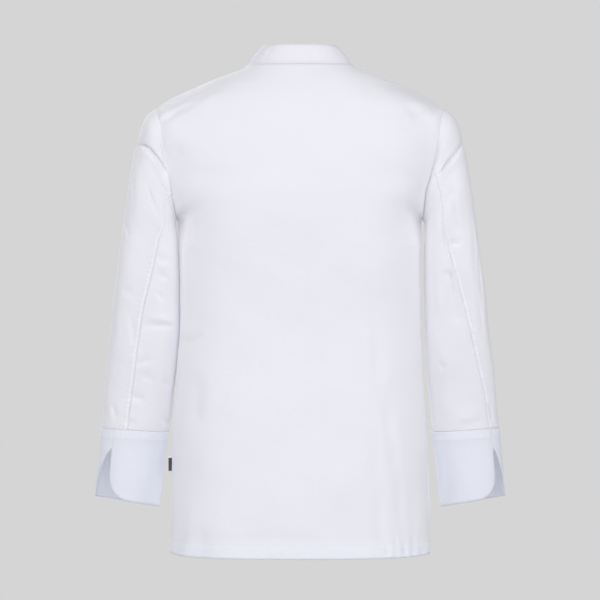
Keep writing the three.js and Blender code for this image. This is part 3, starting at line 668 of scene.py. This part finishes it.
def cuffGrid(side, columns, rows):
    look = sleeveLooks[side]
    way = np.linspace(0, 1, columns)[None, :] ** 1.25
    share = np.linspace(1, 0, rows)[:, None]
    fromSlit = way * cuffShape["aroundLength"]
    inCorner = np.maximum(0, cuffShape["corner"] - fromSlit)
    cut = cuffShape["corner"] - np.sqrt(cuffShape["corner"] ** 2 - inCorner ** 2)
    down = share * (cuffShape["length"] - cut)
    pastTop, slitLength = down - cuffShape["slitTop"], cuffShape["length"] - cuffShape["slitTop"]
    opened = ease(pastTop / 12) * np.clip((pastTop + 4) / slitLength, 0, 1)
    gapAngle = math.degrees(cuffShape["gap"] / 2 / 50)
    start = look["slit"] + gapAngle + cuffShape["underDrift"] * opened
    end = 360 + mix(look["slit"] - gapAngle, cuffShape["openTo"], opened)
    angle = mix(start, end, way)
    points = ringPoints(cuffAt, down, angle, look["sign"])
    middleX = look["sign"] * (cuffAt["outX"](down) + cuffAt["inX"](down)) / 2
    outward = points - np.stack([middleX, cuffAt["midY"](down), points[..., 2]], axis=-1)
    outward /= np.linalg.norm(outward, axis=-1, keepdims=True)
    away = unevenness(angle, down, look["cuffSeed"], 0.35) * ease(down / 20)
    points = points + outward * away[..., None]
    return points if look["sign"] > 0 else points[:, ::-1]


# collar

collarTop = {"half": 59, "back": 49, "front": 81, "backZ": 33.5, "sideZ": 35, "frontZ": -41, "square": 2.3}
collarShape = {
    "bow": 1.4, "tuck": 5, "inset": 2.0, "endGap": 1.5, "cornerRadius": 14, "halfRound": 250,
    "columns": 150, "rows": 16, "wall": 1.8,
}


def necklinePoints(angle):
    points = np.zeros((len(angle), 3))
    for face in ("back", "front"):
        here = np.abs(angle) <= 90 if face == "back" else np.abs(angle) > 90
        fromMiddle = np.abs(angle[here]) if face == "back" else 180 - np.abs(angle[here])
        share = np.sign(angle[here]) * fromMiddle / 90 * form["neckColumn"]
        x, z = panelPlace(face, share, np.ones_like(share))
        points[here] = np.stack([x, bodyY(face, x, z), z], axis=1)
    return points


def collarGrid():
    reach = 180 - collarShape["endGap"]
    spot = np.linspace(1, -1, collarShape["columns"])
    angle = reach * np.sign(spot) * (1 - (1 - np.abs(spot)) ** 1.12)
    base = necklinePoints(angle)
    inward = -base * (1, 1, 0)
    inward /= np.linalg.norm(inward, axis=1, keepdims=True)
    base = base + inward * collarShape["inset"]
    turn = np.radians(angle)
    forward = np.where(np.cos(turn) > 0, collarTop["back"], collarTop["front"])
    endZ = np.where(np.cos(turn) > 0, collarTop["backZ"], collarTop["frontZ"])
    top = np.stack([
        collarTop["half"] * signedPower(np.sin(turn), 2 / collarTop["square"]),
        forward * signedPower(np.cos(turn), 2 / collarTop["square"]),
        mix(collarTop["sideZ"], endZ, np.abs(np.cos(turn)) ** 1.15),
    ], axis=1)
    height = np.linalg.norm(top - base, axis=1)
    fromEnd = (reach - np.abs(angle)) / 180 * collarShape["halfRound"]
    inCorner = np.maximum(0, collarShape["cornerRadius"] - fromEnd)
    cut = collarShape["cornerRadius"] - np.sqrt(collarShape["cornerRadius"] ** 2 - inCorner ** 2)
    low = -collarShape["tuck"] / height
    part = np.linspace(0, 1, collarShape["rows"])[:, None]
    share = mix(low, 1 - cut / height, part)
    points = base + (top - base) * share[..., None]
    outward = points * (1, 1, 0)
    outward /= np.linalg.norm(outward, axis=2, keepdims=True)
    bow = collarShape["bow"] * np.sin(math.pi * np.clip(share, 0, 1))
    foot = 0.9 * bell((share - 0.1) / 0.13)
    dimple = 1.4 * bell((angle - 42) / 3) * bell((share - 0.62) / 0.22)
    away = bow + foot - dimple + unevenness(angle, share * 36, 2.4, 0.25)
    return points + outward * away[..., None]


# materials

clothLook = {
    # the shade and the colour of each cloth, and the colours of its doubled bands
    "body": ((0.838, 0.835, 0.862), (0.868, 0.865, 0.886)),
    "cuffs": ((0.796, 0.818, 0.870), (0.818, 0.840, 0.890)),
    "collar": ((0.820, 0.810, 0.848), (0.842, 0.832, 0.870)),
    "hemBand": (0.855, 0.872, 0.912), "seamBand": (0.905, 0.912, 0.940), "cuffBand": (0.838, 0.857, 0.902),
    "roughness": 0.86, "sheen": 0.2, "twillPitch": 0.0012, "twillDepth": 0.00006, "wrinkleDepth": 0.0009,
    "grooveDepth": 0.00022, "grooveWidth": 0.0011, "bandStep": 0.00014,
    "puckerDepth": 0.0002, "puckerPitch": 0.008, "puckerWidth": 0.011,
    # painted shade: concave creases, seams and hollows get a darker colour that stands in for the shade falling
    # there
    "hollow": (0.42, 0.40, 0.47), "creaseShadeFrom": 0.490, "creaseShadeGain": 7.0, "creaseShadeMost": 0.3,
}


def clothMaterial(name, stitched, bands, cloth, band, look=clothLook):
    # stitched: distances in from an edge where a line is sewn; bands: edges where the cloth is doubled
    shader = Shader(name)
    cut = shader.add("ShaderNodeUVMap", {"uv_map": "cut"})
    edges = shader.add("ShaderNodeUVMap", {"uv_map": "edges"})
    left = shader.add("ShaderNodeSeparateXYZ", None, {0: cut})
    bottom = Wire(shader, left.socket.node.outputs[1])
    right = shader.add("ShaderNodeSeparateXYZ", None, {0: edges})
    top = Wire(shader, right.socket.node.outputs[1])
    sides = {"left": (left, bottom), "right": (right, bottom), "bottom": (bottom, left), "top": (top, left)}
    place = shader.objectPlace()
    wander = shader.noise(place, 7.0, 3.0, roughness=0.55)
    crumple = shader.noise(place, 30.0, 5.0, roughness=0.55, distortion=0.6)
    groove, pucker, doubled = 0.0, 0.0, 0.0
    for edge, distance in stitched:
        across, lengthwise = sides[edge]
        groove = shader.near(across, distance * mm, look["grooveWidth"]) + groove
        wave = (lengthwise * (2 * math.pi / look["puckerPitch"]) + wander * 34.0).math("SINE") * 0.5 + 0.5
        pucker = wave * shader.near(across, distance * mm, look["puckerWidth"]) + pucker
    for edge, distance in bands:
        inside = ((distance * mm - sides[edge][0]) / 0.0009).math("MAXIMUM", 0.0).math("MINIMUM", 1.0)
        doubled = inside.math("MAXIMUM", doubled)
    twill = ((left + bottom * 1.7) * (2 * math.pi / look["twillPitch"])).math("SINE") * 0.5 + 0.5
    height = twill * look["twillDepth"] + crumple * look["wrinkleDepth"]
    if stitched:
        height = height - groove * look["grooveDepth"] + pucker * look["puckerDepth"]
    if bands:
        height = height + doubled * look["bandStep"]
    relief = shader.bump(height, 1.0, 1.0)
    tone = (wander * 0.7 + twill * 0.1 + crumple * 0.2).math("MINIMUM", 1.0)
    # painted shade: where the mesh is concave (low pointiness) the colour is pulled towards the hollow colour,
    # standing in for shade in creases
    pointiness = shader.add("ShaderNodeNewGeometry", output=7)
    creaseShade = ((look["creaseShadeFrom"] - pointiness) * look["creaseShadeGain"]).math("MAXIMUM", 0.0)
    creaseShade = creaseShade.math("MINIMUM", look["creaseShadeMost"])
    colour = shader.blend(doubled, shader.blend(tone, *look[cloth]), look[band])
    colour = shader.blend(creaseShade, colour, look["hollow"])
    shader.feed(shader.surface, {
        "Base Color": colour,
        "Roughness": look["roughness"] + crumple * 0.08,
        "Normal": relief,
        "Sheen Weight": look["sheen"],
        "Sheen Roughness": 0.5,
        "Specular IOR Level": 0.25,
    })
    return shader.material


def threadMaterial():
    shader = Shader("thread")
    ply = shader.noise(shader.objectPlace(), 900.0, 1.0)
    colour = shader.blend(ply, (0.70, 0.70, 0.78), (0.86, 0.86, 0.93))
    relief = shader.bump(ply, 0.4, 0.0002)
    shader.feed(shader.surface, {"Base Color": colour, "Roughness": 0.6 + ply * 0.1, "Normal": relief})
    return shader.material


def buttonMaterial():
    shader = Shader("buttonPlastic")
    cloud = shader.noise(shader.objectPlace(), 160.0, 3.0, distortion=1.2)
    colour = shader.blend(cloud, (0.78, 0.78, 0.79), (0.88, 0.88, 0.88))
    relief = shader.bump(cloud, 0.15, 0.0002)
    shader.feed(shader.surface, {
        "Base Color": colour, "Roughness": 0.24 + cloud * 0.12, "Normal": relief, "Coat Weight": 0.3})
    return shader.material


def tagMaterial():
    # white woven tape with one plain dark band, and no lettering
    shader = Shader("wovenTape")
    parts = shader.add("ShaderNodeSeparateXYZ", None, {0: shader.objectPlace()})
    height = Wire(shader, parts.socket.node.outputs[2])
    band = (shader.near(height, tagLook["bandZ"] * mm, tagLook["bandHalf"] * mm) * 40.0).math("MINIMUM", 1.0)
    rib = (height * (2 * math.pi / 0.0007)).math("SINE") * 0.5 + 0.5
    colour = shader.blend(band, (0.82, 0.82, 0.86), (0.06, 0.06, 0.075))
    relief = shader.bump(rib, 0.5, 0.0001)
    shader.feed(shader.surface, {
        "Base Color": colour, "Roughness": 0.55 + rib * 0.1, "Normal": relief, "Sheen Weight": 0.1})
    return shader.material


# making the pieces


def linked(mesh, name, material):
    piece = bpy.data.objects.new(name, mesh)
    bpy.context.scene.collection.objects.link(piece)
    mesh.materials.append(material)
    return piece


def clothPiece(name, points, thick, stitched, bands=(), cloth="body", band="hemBand"):
    # a grid laid on the points, with its distances from the four edges as two UV maps
    rows, columns = points.shape[:2]
    away = {edge: value * mm for edge, value in edgeDistances(points).items()}
    bm = bmesh.new()
    bmesh.ops.create_grid(bm, x_segments=columns - 1, y_segments=rows - 1, size=0.5)
    spots = {}
    for vert in bm.verts:
        column = round((vert.co.x + 0.5) * (columns - 1))
        row = round((vert.co.y + 0.5) * (rows - 1))
        spots[vert.index] = (row, column)
        vert.co = Vector(points[row, column] * mm)
    cut = bm.loops.layers.uv.new("cut")
    edges = bm.loops.layers.uv.new("edges")
    for face in bm.faces:
        face.smooth = True
        for loop in face.loops:
            spot = spots[loop.vert.index]
            loop[cut].uv = (away["left"][spot], away["bottom"][spot])
            loop[edges].uv = (away["right"][spot], away["top"][spot])
    mesh = bpy.data.meshes.new(name)
    bm.to_mesh(mesh)
    bm.free()
    piece = linked(mesh, name, clothMaterial(name + "Cloth", stitched, bands, cloth, band))
    wall = piece.modifiers.new("wall", "SOLIDIFY")
    wall.thickness = thick * mm
    wall.offset = -1
    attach(piece, "root")
    return piece


stitchLook = {"pitch": 3.4, "length": 2.5, "wide": 0.5, "high": 0.32, "sunk": 0.05}

# how far in from its edge each row of stitches runs
stitchRows = {
    "hem": (20,), "backArmhole": (1.8, 6.8), "frontArmhole": (1.6, 6.5), "frontEdge": (2.2, 8),
    "collarTop": (2.2,), "collarFoot": (7.5,), "sleeveSeam": (1.6, 5), "cuffTop": (2, 15), "cuffEdge": (3,),
}


def rowsAt(key, *edges):
    return [(edge, distance) for edge in edges for distance in stitchRows[key]]


def lineAt(points, edge, distance, start, stop):
    # the line that runs a set distance in from one edge of a grid, with the cloth's facing beside it
    away = edgeDistances(points)[edge]
    facing = facings(points)
    if edge in ("bottom", "top"):
        points, facing, away = (a.swapaxes(0, 1) for a in (points, facing, away))
    line, ways = [], []
    for row in range(len(points)):
        order = np.argsort(away[row])
        line.append([np.interp(distance, away[row][order], points[row][order, k]) for k in range(3)])
        ways.append([np.interp(distance, away[row][order], facing[row][order, k]) for k in range(3)])
    first, last = round(start * (len(line) - 1)), round(stop * (len(line) - 1))
    return np.array(line)[first:last + 1], np.array(ways)[first:last + 1]


def stitchLine(bm, line, ways, look=stitchLook):
    # small threads laid end to end along a line
    way = np.concatenate([[0], np.cumsum(np.linalg.norm(np.diff(line, axis=0), axis=1))])
    middles = (np.arange(int(way[-1] / look["pitch"])) + 0.5) * look["pitch"]

    def read(values, places):
        return np.stack([np.interp(places, way, values[:, k]) for k in range(3)], axis=1)

    runs = read(line, middles + 1.2) - read(line, middles - 1.2)
    for spot, run, up in zip(read(line, middles), runs, read(ways, middles)):
        run, up = Vector(run).normalized(), Vector(up).normalized()
        aside = up.cross(run).normalized()
        turn = Matrix((run, aside, up)).transposed().to_4x4()
        halves = [look[part] / 2 * mm for part in ("length", "wide", "high")]
        size = Matrix.Diagonal((*halves, 1))
        place = Matrix.Translation((Vector(spot) + up * (look["high"] / 2 - look["sunk"])) * mm)
        bmesh.ops.create_icosphere(bm, subdivisions=1, radius=1, matrix=place @ turn @ size)


def stitchesOn(name, points, lines):
    # one mesh of all the threads on a piece; lines holds rows and the stretch of the edge they run along
    mesh = bpy.data.meshes.new(name)
    whole = bmesh.new()
    for edge, distance, start, stop in ((*row, start, stop) for rows, start, stop in lines for row in rows):
        part = bmesh.new()
        stitchLine(part, *lineAt(points, edge, distance, start, stop))
        partMesh = bpy.data.meshes.new("part")
        part.to_mesh(partMesh)
        part.free()
        whole.from_mesh(partMesh)
        bpy.data.meshes.remove(partMesh)
    for face in whole.faces:
        face.smooth = True
    whole.to_mesh(mesh)
    whole.free()
    piece = linked(mesh, name, threads)
    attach(piece, "root")


threads = threadMaterial()
hemBands = [("bottom", stitchRows["hem"][0] + 1)]

# back: one piece, with its hem turned up and stitched
backLook = {"columns": 168, "wall": 0.9}
shares = evenShares("back", 1, -1, backLook["columns"])
backPoints = panelGrid("back", np.broadcast_to(shares, (panelRows, len(shares))), seed=1.0)
back = clothPiece("backPanel", backPoints, backLook["wall"], rowsAt("hem", "bottom"), hemBands)
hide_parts("back")
print("chef jacket: back", len(back.data.polygons))

# fronts: the wearer's left laps over the right
frontLook = {"columns": 104, "wall": 0.9, "edgeShare": 0.3}
edgeShares = np.full((panelRows, 1), frontLook["edgeShare"])
rowZ = panelPlace("front", edgeShares, panelRises(edgeShares))[1]  # each row's height near the front edge
base = evenShares("front", -frontLook["edgeShare"], 1, frontLook["columns"])
part = (base - base[0]) / (base[-1] - base[0])
leftShares = mix(-along(lapEdge, "z", "share")(rowZ), 1, part[None, :])
frontPoints = {
    "left": panelGrid("front", leftShares, lift=frontLift, seed=3.0),
    "right": panelGrid("front", -leftShares[:, ::-1], seed=1.0),
}
for side, points in frontPoints.items():
    stitched = rowsAt("hem", "bottom") + rowsAt("frontEdge", side)
    front = clothPiece("front" + side.capitalize() + "Panel", points, frontLook["wall"], stitched, hemBands)
    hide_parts("front_" + side)
print("chef jacket: fronts")

# collar: a doubled stand band
collarPoints = collarGrid()
stitched = rowsAt("collarTop", "top") + rowsAt("collarFoot", "bottom")
collar = clothPiece("collarBand", collarPoints, collarShape["wall"], stitched, cloth="collar")
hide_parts("collar")

# sleeves and cuffs: each sleeve's top piece is sewn down along its back seam
sleeveLook = {"columns": {"top": 126, "under": 62}, "wall": 0.9, "seamBand": 5.4}
cuffLook = {"columns": 96, "rows": 30, "wall": 1.8, "topBand": 14, "sideBand": 2.6}
backEdges = {"left": "right", "right": "left"}
topPoints, cuffPoints = {}, {}
for side in ("left", "right"):
    for which, columns in sleeveLook["columns"].items():
        points = sleeveGrid(side, which, columns, grid["sleeveSpacing"])
        name = "sleeve" + which.capitalize() + side.capitalize()
        stitched, bands = [], []
        if which == "top":
            topPoints[side] = points
            stitched = rowsAt("sleeveSeam", backEdges[side])
            bands = [(backEdges[side], sleeveLook["seamBand"])]
        piece = clothPiece(name, points, sleeveLook["wall"], stitched, bands, band="seamBand")
        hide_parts("sleeve_" + which + "_" + side)
    cuffPoints[side] = cuffGrid(side, cuffLook["columns"], cuffLook["rows"])
    stitched = rowsAt("cuffTop", "top") + rowsAt("cuffEdge", "bottom", "left", "right")
    bands = [("top", cuffLook["topBand"]), ("left", cuffLook["sideBand"]), ("right", cuffLook["sideBand"])]
    piece = clothPiece(
        "cuff" + side.capitalize(), cuffPoints[side], cuffLook["wall"], stitched, bands, "cuffs", "cuffBand")
    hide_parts("cuff_" + side)
print("chef jacket: collar, sleeves and cuffs")

# side tag: a small folded loop of tape in the left side seam
tagLook = {
    "flat": (0.025, 0.0169), "height": 25, "rows": 8, "reach": 7.5, "bend": 0.6, "wall": 0.5, "topZ": -604,
    "lean": 0.62, "bandZ": -616.5, "bandHalf": 10.4,
}


def makeTag():
    bm = bmesh.new()
    half = bodyAt["half"](tagLook["topZ"] - tagLook["height"] / 2)
    reach, bend = tagLook["reach"], tagLook["bend"]
    profile = [
        (0.0, bend), (reach * 0.5, bend * 1.05), (reach - bend, bend), (reach - 0.2, bend * 0.6),
        (reach, 0.0), (reach - 0.2, -bend * 0.6), (reach - bend, -bend), (reach * 0.5, -bend * 0.9), (0.0, -bend),
    ]
    verts = [bm.verts.new(Vector((x, y, 0)) * mm) for x, y in profile]
    edges = [bm.edges.new(pair) for pair in zip(verts, verts[1:])]
    for row in range(tagLook["rows"]):
        out = bmesh.ops.extrude_edge_only(bm, edges=edges)
        moved = [item for item in out["geom"] if isinstance(item, bmesh.types.BMVert)]
        bmesh.ops.translate(bm, verts=moved, vec=(0, 0, -tagLook["height"] / tagLook["rows"] * mm))
        edges = [item for item in out["geom"] if isinstance(item, bmesh.types.BMEdge)]
    turn = Matrix.Rotation(math.atan(tagLook["lean"]), 3, "Z")
    bmesh.ops.rotate(bm, verts=bm.verts, cent=(0, 0, 0), matrix=turn)
    bmesh.ops.translate(bm, verts=bm.verts, vec=Vector((half + 0.6, 0.2, tagLook["topZ"])) * mm)
    bmesh.ops.recalc_face_normals(bm, faces=bm.faces)
    for face in bm.faces:
        face.smooth = True
    mesh = bpy.data.meshes.new("sideTag")
    bm.to_mesh(mesh)
    bm.free()
    piece = linked(mesh, "sideTag", tagMaterial())
    wall = piece.modifiers.new("wall", "SOLIDIFY")
    wall.thickness = tagLook["wall"] * mm
    wall.offset = 0
    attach(piece, "root")
    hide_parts("side_tag")


makeTag()

# buttons: round, dished, four holes, sewn through
buttonLook = {
    "radius": 9, "thick": 3.2, "rows": 5, "topZ": -98, "pitch": 98, "fromCentre": 62, "lift": 0.5,
    "holeRadius": 0.95, "holeAt": 1.9, "holeDepth": 3.2, "thread": (0.3, 2.3, 0.35), "threadAt": 2.25,
}


def makeButtonMesh():
    radius, thick = buttonLook["radius"], buttonLook["thick"]
    bm = bmesh.new()
    profile = [
        (0, 0), (radius * 0.85, 0), (radius, 0.9), (radius, thick - 1.0), (radius - 0.5, thick - 0.2),
        (radius - 1.2, thick), (radius - 2.0, thick - 0.2), (radius - 3.0, thick - 1.0), (0, thick - 1.15),
    ]
    verts = [bm.verts.new(Vector((x, 0, z)) * mm) for x, z in profile]
    edges = [bm.edges.new(pair) for pair in zip(verts, verts[1:])]
    bmesh.ops.spin(
        bm, geom=verts + edges, cent=(0, 0, 0), axis=(0, 0, 1), angle=2 * math.pi, steps=40,
        use_merge=True, use_duplicate=False)
    bmesh.ops.remove_doubles(bm, verts=bm.verts, dist=0.00002)
    bmesh.ops.recalc_face_normals(bm, faces=bm.faces)
    for face in bm.faces:
        face.smooth = True
    mesh = bpy.data.meshes.new("button")
    bm.to_mesh(mesh)
    bm.free()
    whole = linked(mesh, "buttonWhole", buttonMaterial())
    cutter = bmesh.new()
    for k in range(4):
        angle = math.radians(45 + 90 * k)
        spot = Vector((math.cos(angle), math.sin(angle), 0)) * buttonLook["holeAt"] * math.sqrt(2) * mm
        spot.z = thick * mm
        bmesh.ops.create_cone(
            cutter, cap_ends=True, segments=16, radius1=buttonLook["holeRadius"] * mm,
            radius2=buttonLook["holeRadius"] * mm, depth=buttonLook["holeDepth"] * mm,
            matrix=Matrix.Translation(spot))
    cutMesh = bpy.data.meshes.new("holes")
    cutter.to_mesh(cutMesh)
    cutter.free()
    holes = linked(cutMesh, "holes", whole.data.materials[0])
    boolean = whole.modifiers.new("holes", "BOOLEAN")
    boolean.operation = "DIFFERENCE"
    boolean.object = holes
    boolean.solver = "EXACT"
    bpy.context.view_layer.update()
    made = bpy.data.meshes.new_from_object(whole.evaluated_get(bpy.context.evaluated_depsgraph_get()))
    for thing in (whole, holes):
        bpy.data.objects.remove(thing)
    return made


def onFront(x, z):
    # a place on the outer front and the way it faces
    def point(px, pz):
        y = bodyY("front", np.array([px]), np.array([pz]))
        return Vector((px, float(y[0]), pz))
    across = point(x + 4, z) - point(x - 4, z)
    up = point(x, z + 4) - point(x, z - 4)
    facing = across.cross(up).normalized()
    facing = facing if facing.y < 0 else -facing
    return point(x, z) + facing * form["lapLift"], facing


buttonMesh = makeButtonMesh()
threadBm = bmesh.new()
for columnName, x in (("left", buttonLook["fromCentre"]), ("right", -buttonLook["fromCentre"])):
    for row in range(buttonLook["rows"]):
        z = buttonLook["topZ"] - row * buttonLook["pitch"]
        spot, facing = onFront(x, z)
        turn = facing.to_track_quat("Z", "Y").to_matrix().to_4x4()
        place = Matrix.Translation((spot + facing * buttonLook["lift"]) * mm) @ turn
        mesh = buttonMesh.copy()
        mesh.transform(place)
        name = "button" + columnName.capitalize() + str(row + 1)
        piece = bpy.data.objects.new(name, mesh)
        bpy.context.scene.collection.objects.link(piece)
        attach(piece, "root")
        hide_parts("button_" + columnName + "_" + str(row + 1))
        for k in (-1, 1):
            for j in range(3):
                size = Matrix.Diagonal((*(length * mm for length in buttonLook["thread"]), 1))
                aside = k * buttonLook["holeAt"] + (j - 1) * 0.35
                lie = Matrix.Translation(Vector((aside, 0, buttonLook["threadAt"])) * mm)
                bmesh.ops.create_icosphere(threadBm, subdivisions=2, radius=1, matrix=place @ lie @ size)
threadMesh = bpy.data.meshes.new("buttonThread")
for face in threadBm.faces:
    face.smooth = True
threadBm.to_mesh(threadMesh)
threadBm.free()
buttonThread = linked(threadMesh, "buttonThread", threads)
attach(buttonThread, "root")
print("chef jacket: tag and buttons")

# topstitching: all of an edge, or from and to a share of it
stitchEnds = {
    "armhole": (0.70, 1), "collarTop": (0.02, 0.98), "sleeveSeam": (0.02, 0.97), "cuffSide": (0, 0.75)}
stitchesOn("backStitches", backPoints, [
    (rowsAt("hem", "bottom"), 0, 1),
    (rowsAt("backArmhole", "left", "right"), *stitchEnds["armhole"]),
])
stitchesOn("collarStitches", collarPoints, [
    (rowsAt("collarTop", "top"), *stitchEnds["collarTop"]),
    (rowsAt("collarFoot", "bottom"), 0, 1),
])
for side, other in (("left", "right"), ("right", "left")):
    stitchesOn("front" + side.capitalize() + "Stitches", frontPoints[side], [
        (rowsAt("hem", "bottom") + rowsAt("frontEdge", side), 0, 1),
        (rowsAt("frontArmhole", other), *stitchEnds["armhole"]),
    ])
for side in ("left", "right"):
    stitchesOn("sleeve" + side.capitalize() + "Stitches", topPoints[side], [
        (rowsAt("sleeveSeam", backEdges[side]), *stitchEnds["sleeveSeam"]),
    ])
for side in ("left", "right"):
    stitchesOn("cuff" + side.capitalize() + "Stitches", cuffPoints[side], [
        (rowsAt("cuffTop", "top") + rowsAt("cuffEdge", "bottom"), 0, 1),
        (rowsAt("cuffEdge", "left", "right"), *stitchEnds["cuffSide"]),
    ])
print("chef jacket: stitches")

# studio
studio = {
    "tint": (0.985, 0.985, 1.03), "grey": 0.665, "sky": 0.33, "aimZ": -0.35,
    "floorGrey": 0.72, "floorZ": -1.2, "floorRadius": 2.0,
}
bm = bmesh.new()
floorPlace = Matrix.Translation((0, 0, studio["floorZ"]))
bmesh.ops.create_circle(bm, cap_ends=True, segments=96, radius=studio["floorRadius"], matrix=floorPlace)
floorMesh = bpy.data.meshes.new("floor")
bm.to_mesh(floorMesh)
bm.free()
floorShader = Shader("paperFloor")
floorShader.feed(floorShader.surface, {
    "Base Color": (*[studio["floorGrey"]] * 3, 1), "Roughness": 1.0, "Specular IOR Level": 0.0})
floor = linked(floorMesh, "floor", floorShader.material)

# the backdrop is plain grey to the camera, and a softer sky lights the jacket
world = bpy.data.worlds.new("soft")
world.use_nodes = True
nodes, wires = world.node_tree.nodes, world.node_tree.links
sky, paper = nodes["Background"], nodes.new("ShaderNodeBackground")
sky.inputs["Color"].default_value = (*studio["tint"], 1)
paper.inputs["Color"].default_value = (1, 1, 1, 1)
sky.inputs["Strength"].default_value = studio["sky"]
paper.inputs["Strength"].default_value = studio["grey"]
seen, both = nodes.new("ShaderNodeLightPath"), nodes.new("ShaderNodeMixShader")
wires.new(seen.outputs["Is Camera Ray"], both.inputs[0])
wires.new(sky.outputs[0], both.inputs[1])
wires.new(paper.outputs[0], both.inputs[2])
wires.new(both.outputs[0], nodes["World Output"].inputs["Surface"])
bpy.context.scene.world = world

# lamps: name, place, size, power, and whether they cast shadows
for name, place, size, power, shadows in (
    ("cameraKey", (0.2, 3.2, 1.5), 2.4, 45, True),
    ("leftKey", (3.2, 2.6, 1.3), 2.2, 17, True),
    ("rightKey", (-3.2, 2.6, 1.2), 2.2, 21, True),
    ("leftFill", (3.6, 2.4, 0.9), 2.2, 36, False),
    ("rightFill", (-3.6, 2.4, 0.9), 2.2, 44, False),
    ("frontKey", (1.6, -4.6, 1.6), 3.0, 175, True),
):
    data = bpy.data.lights.new(name, "AREA")
    data.use_shadow = shadows
    data.shape = "DISK"
    data.size = size
    data.energy = power
    data.color = studio["tint"]
    lamp = bpy.data.objects.new(name, data)
    lamp.location = place
    lamp.visible_camera = False
    lamp.rotation_euler = (Vector((0, 0, studio["aimZ"])) - Vector(place)).to_track_quat("-Z", "Y").to_euler()
    bpy.context.scene.collection.objects.link(lamp)
bpy.context.scene.view_settings.view_transform = "Standard"
print("chef jacket: studio")
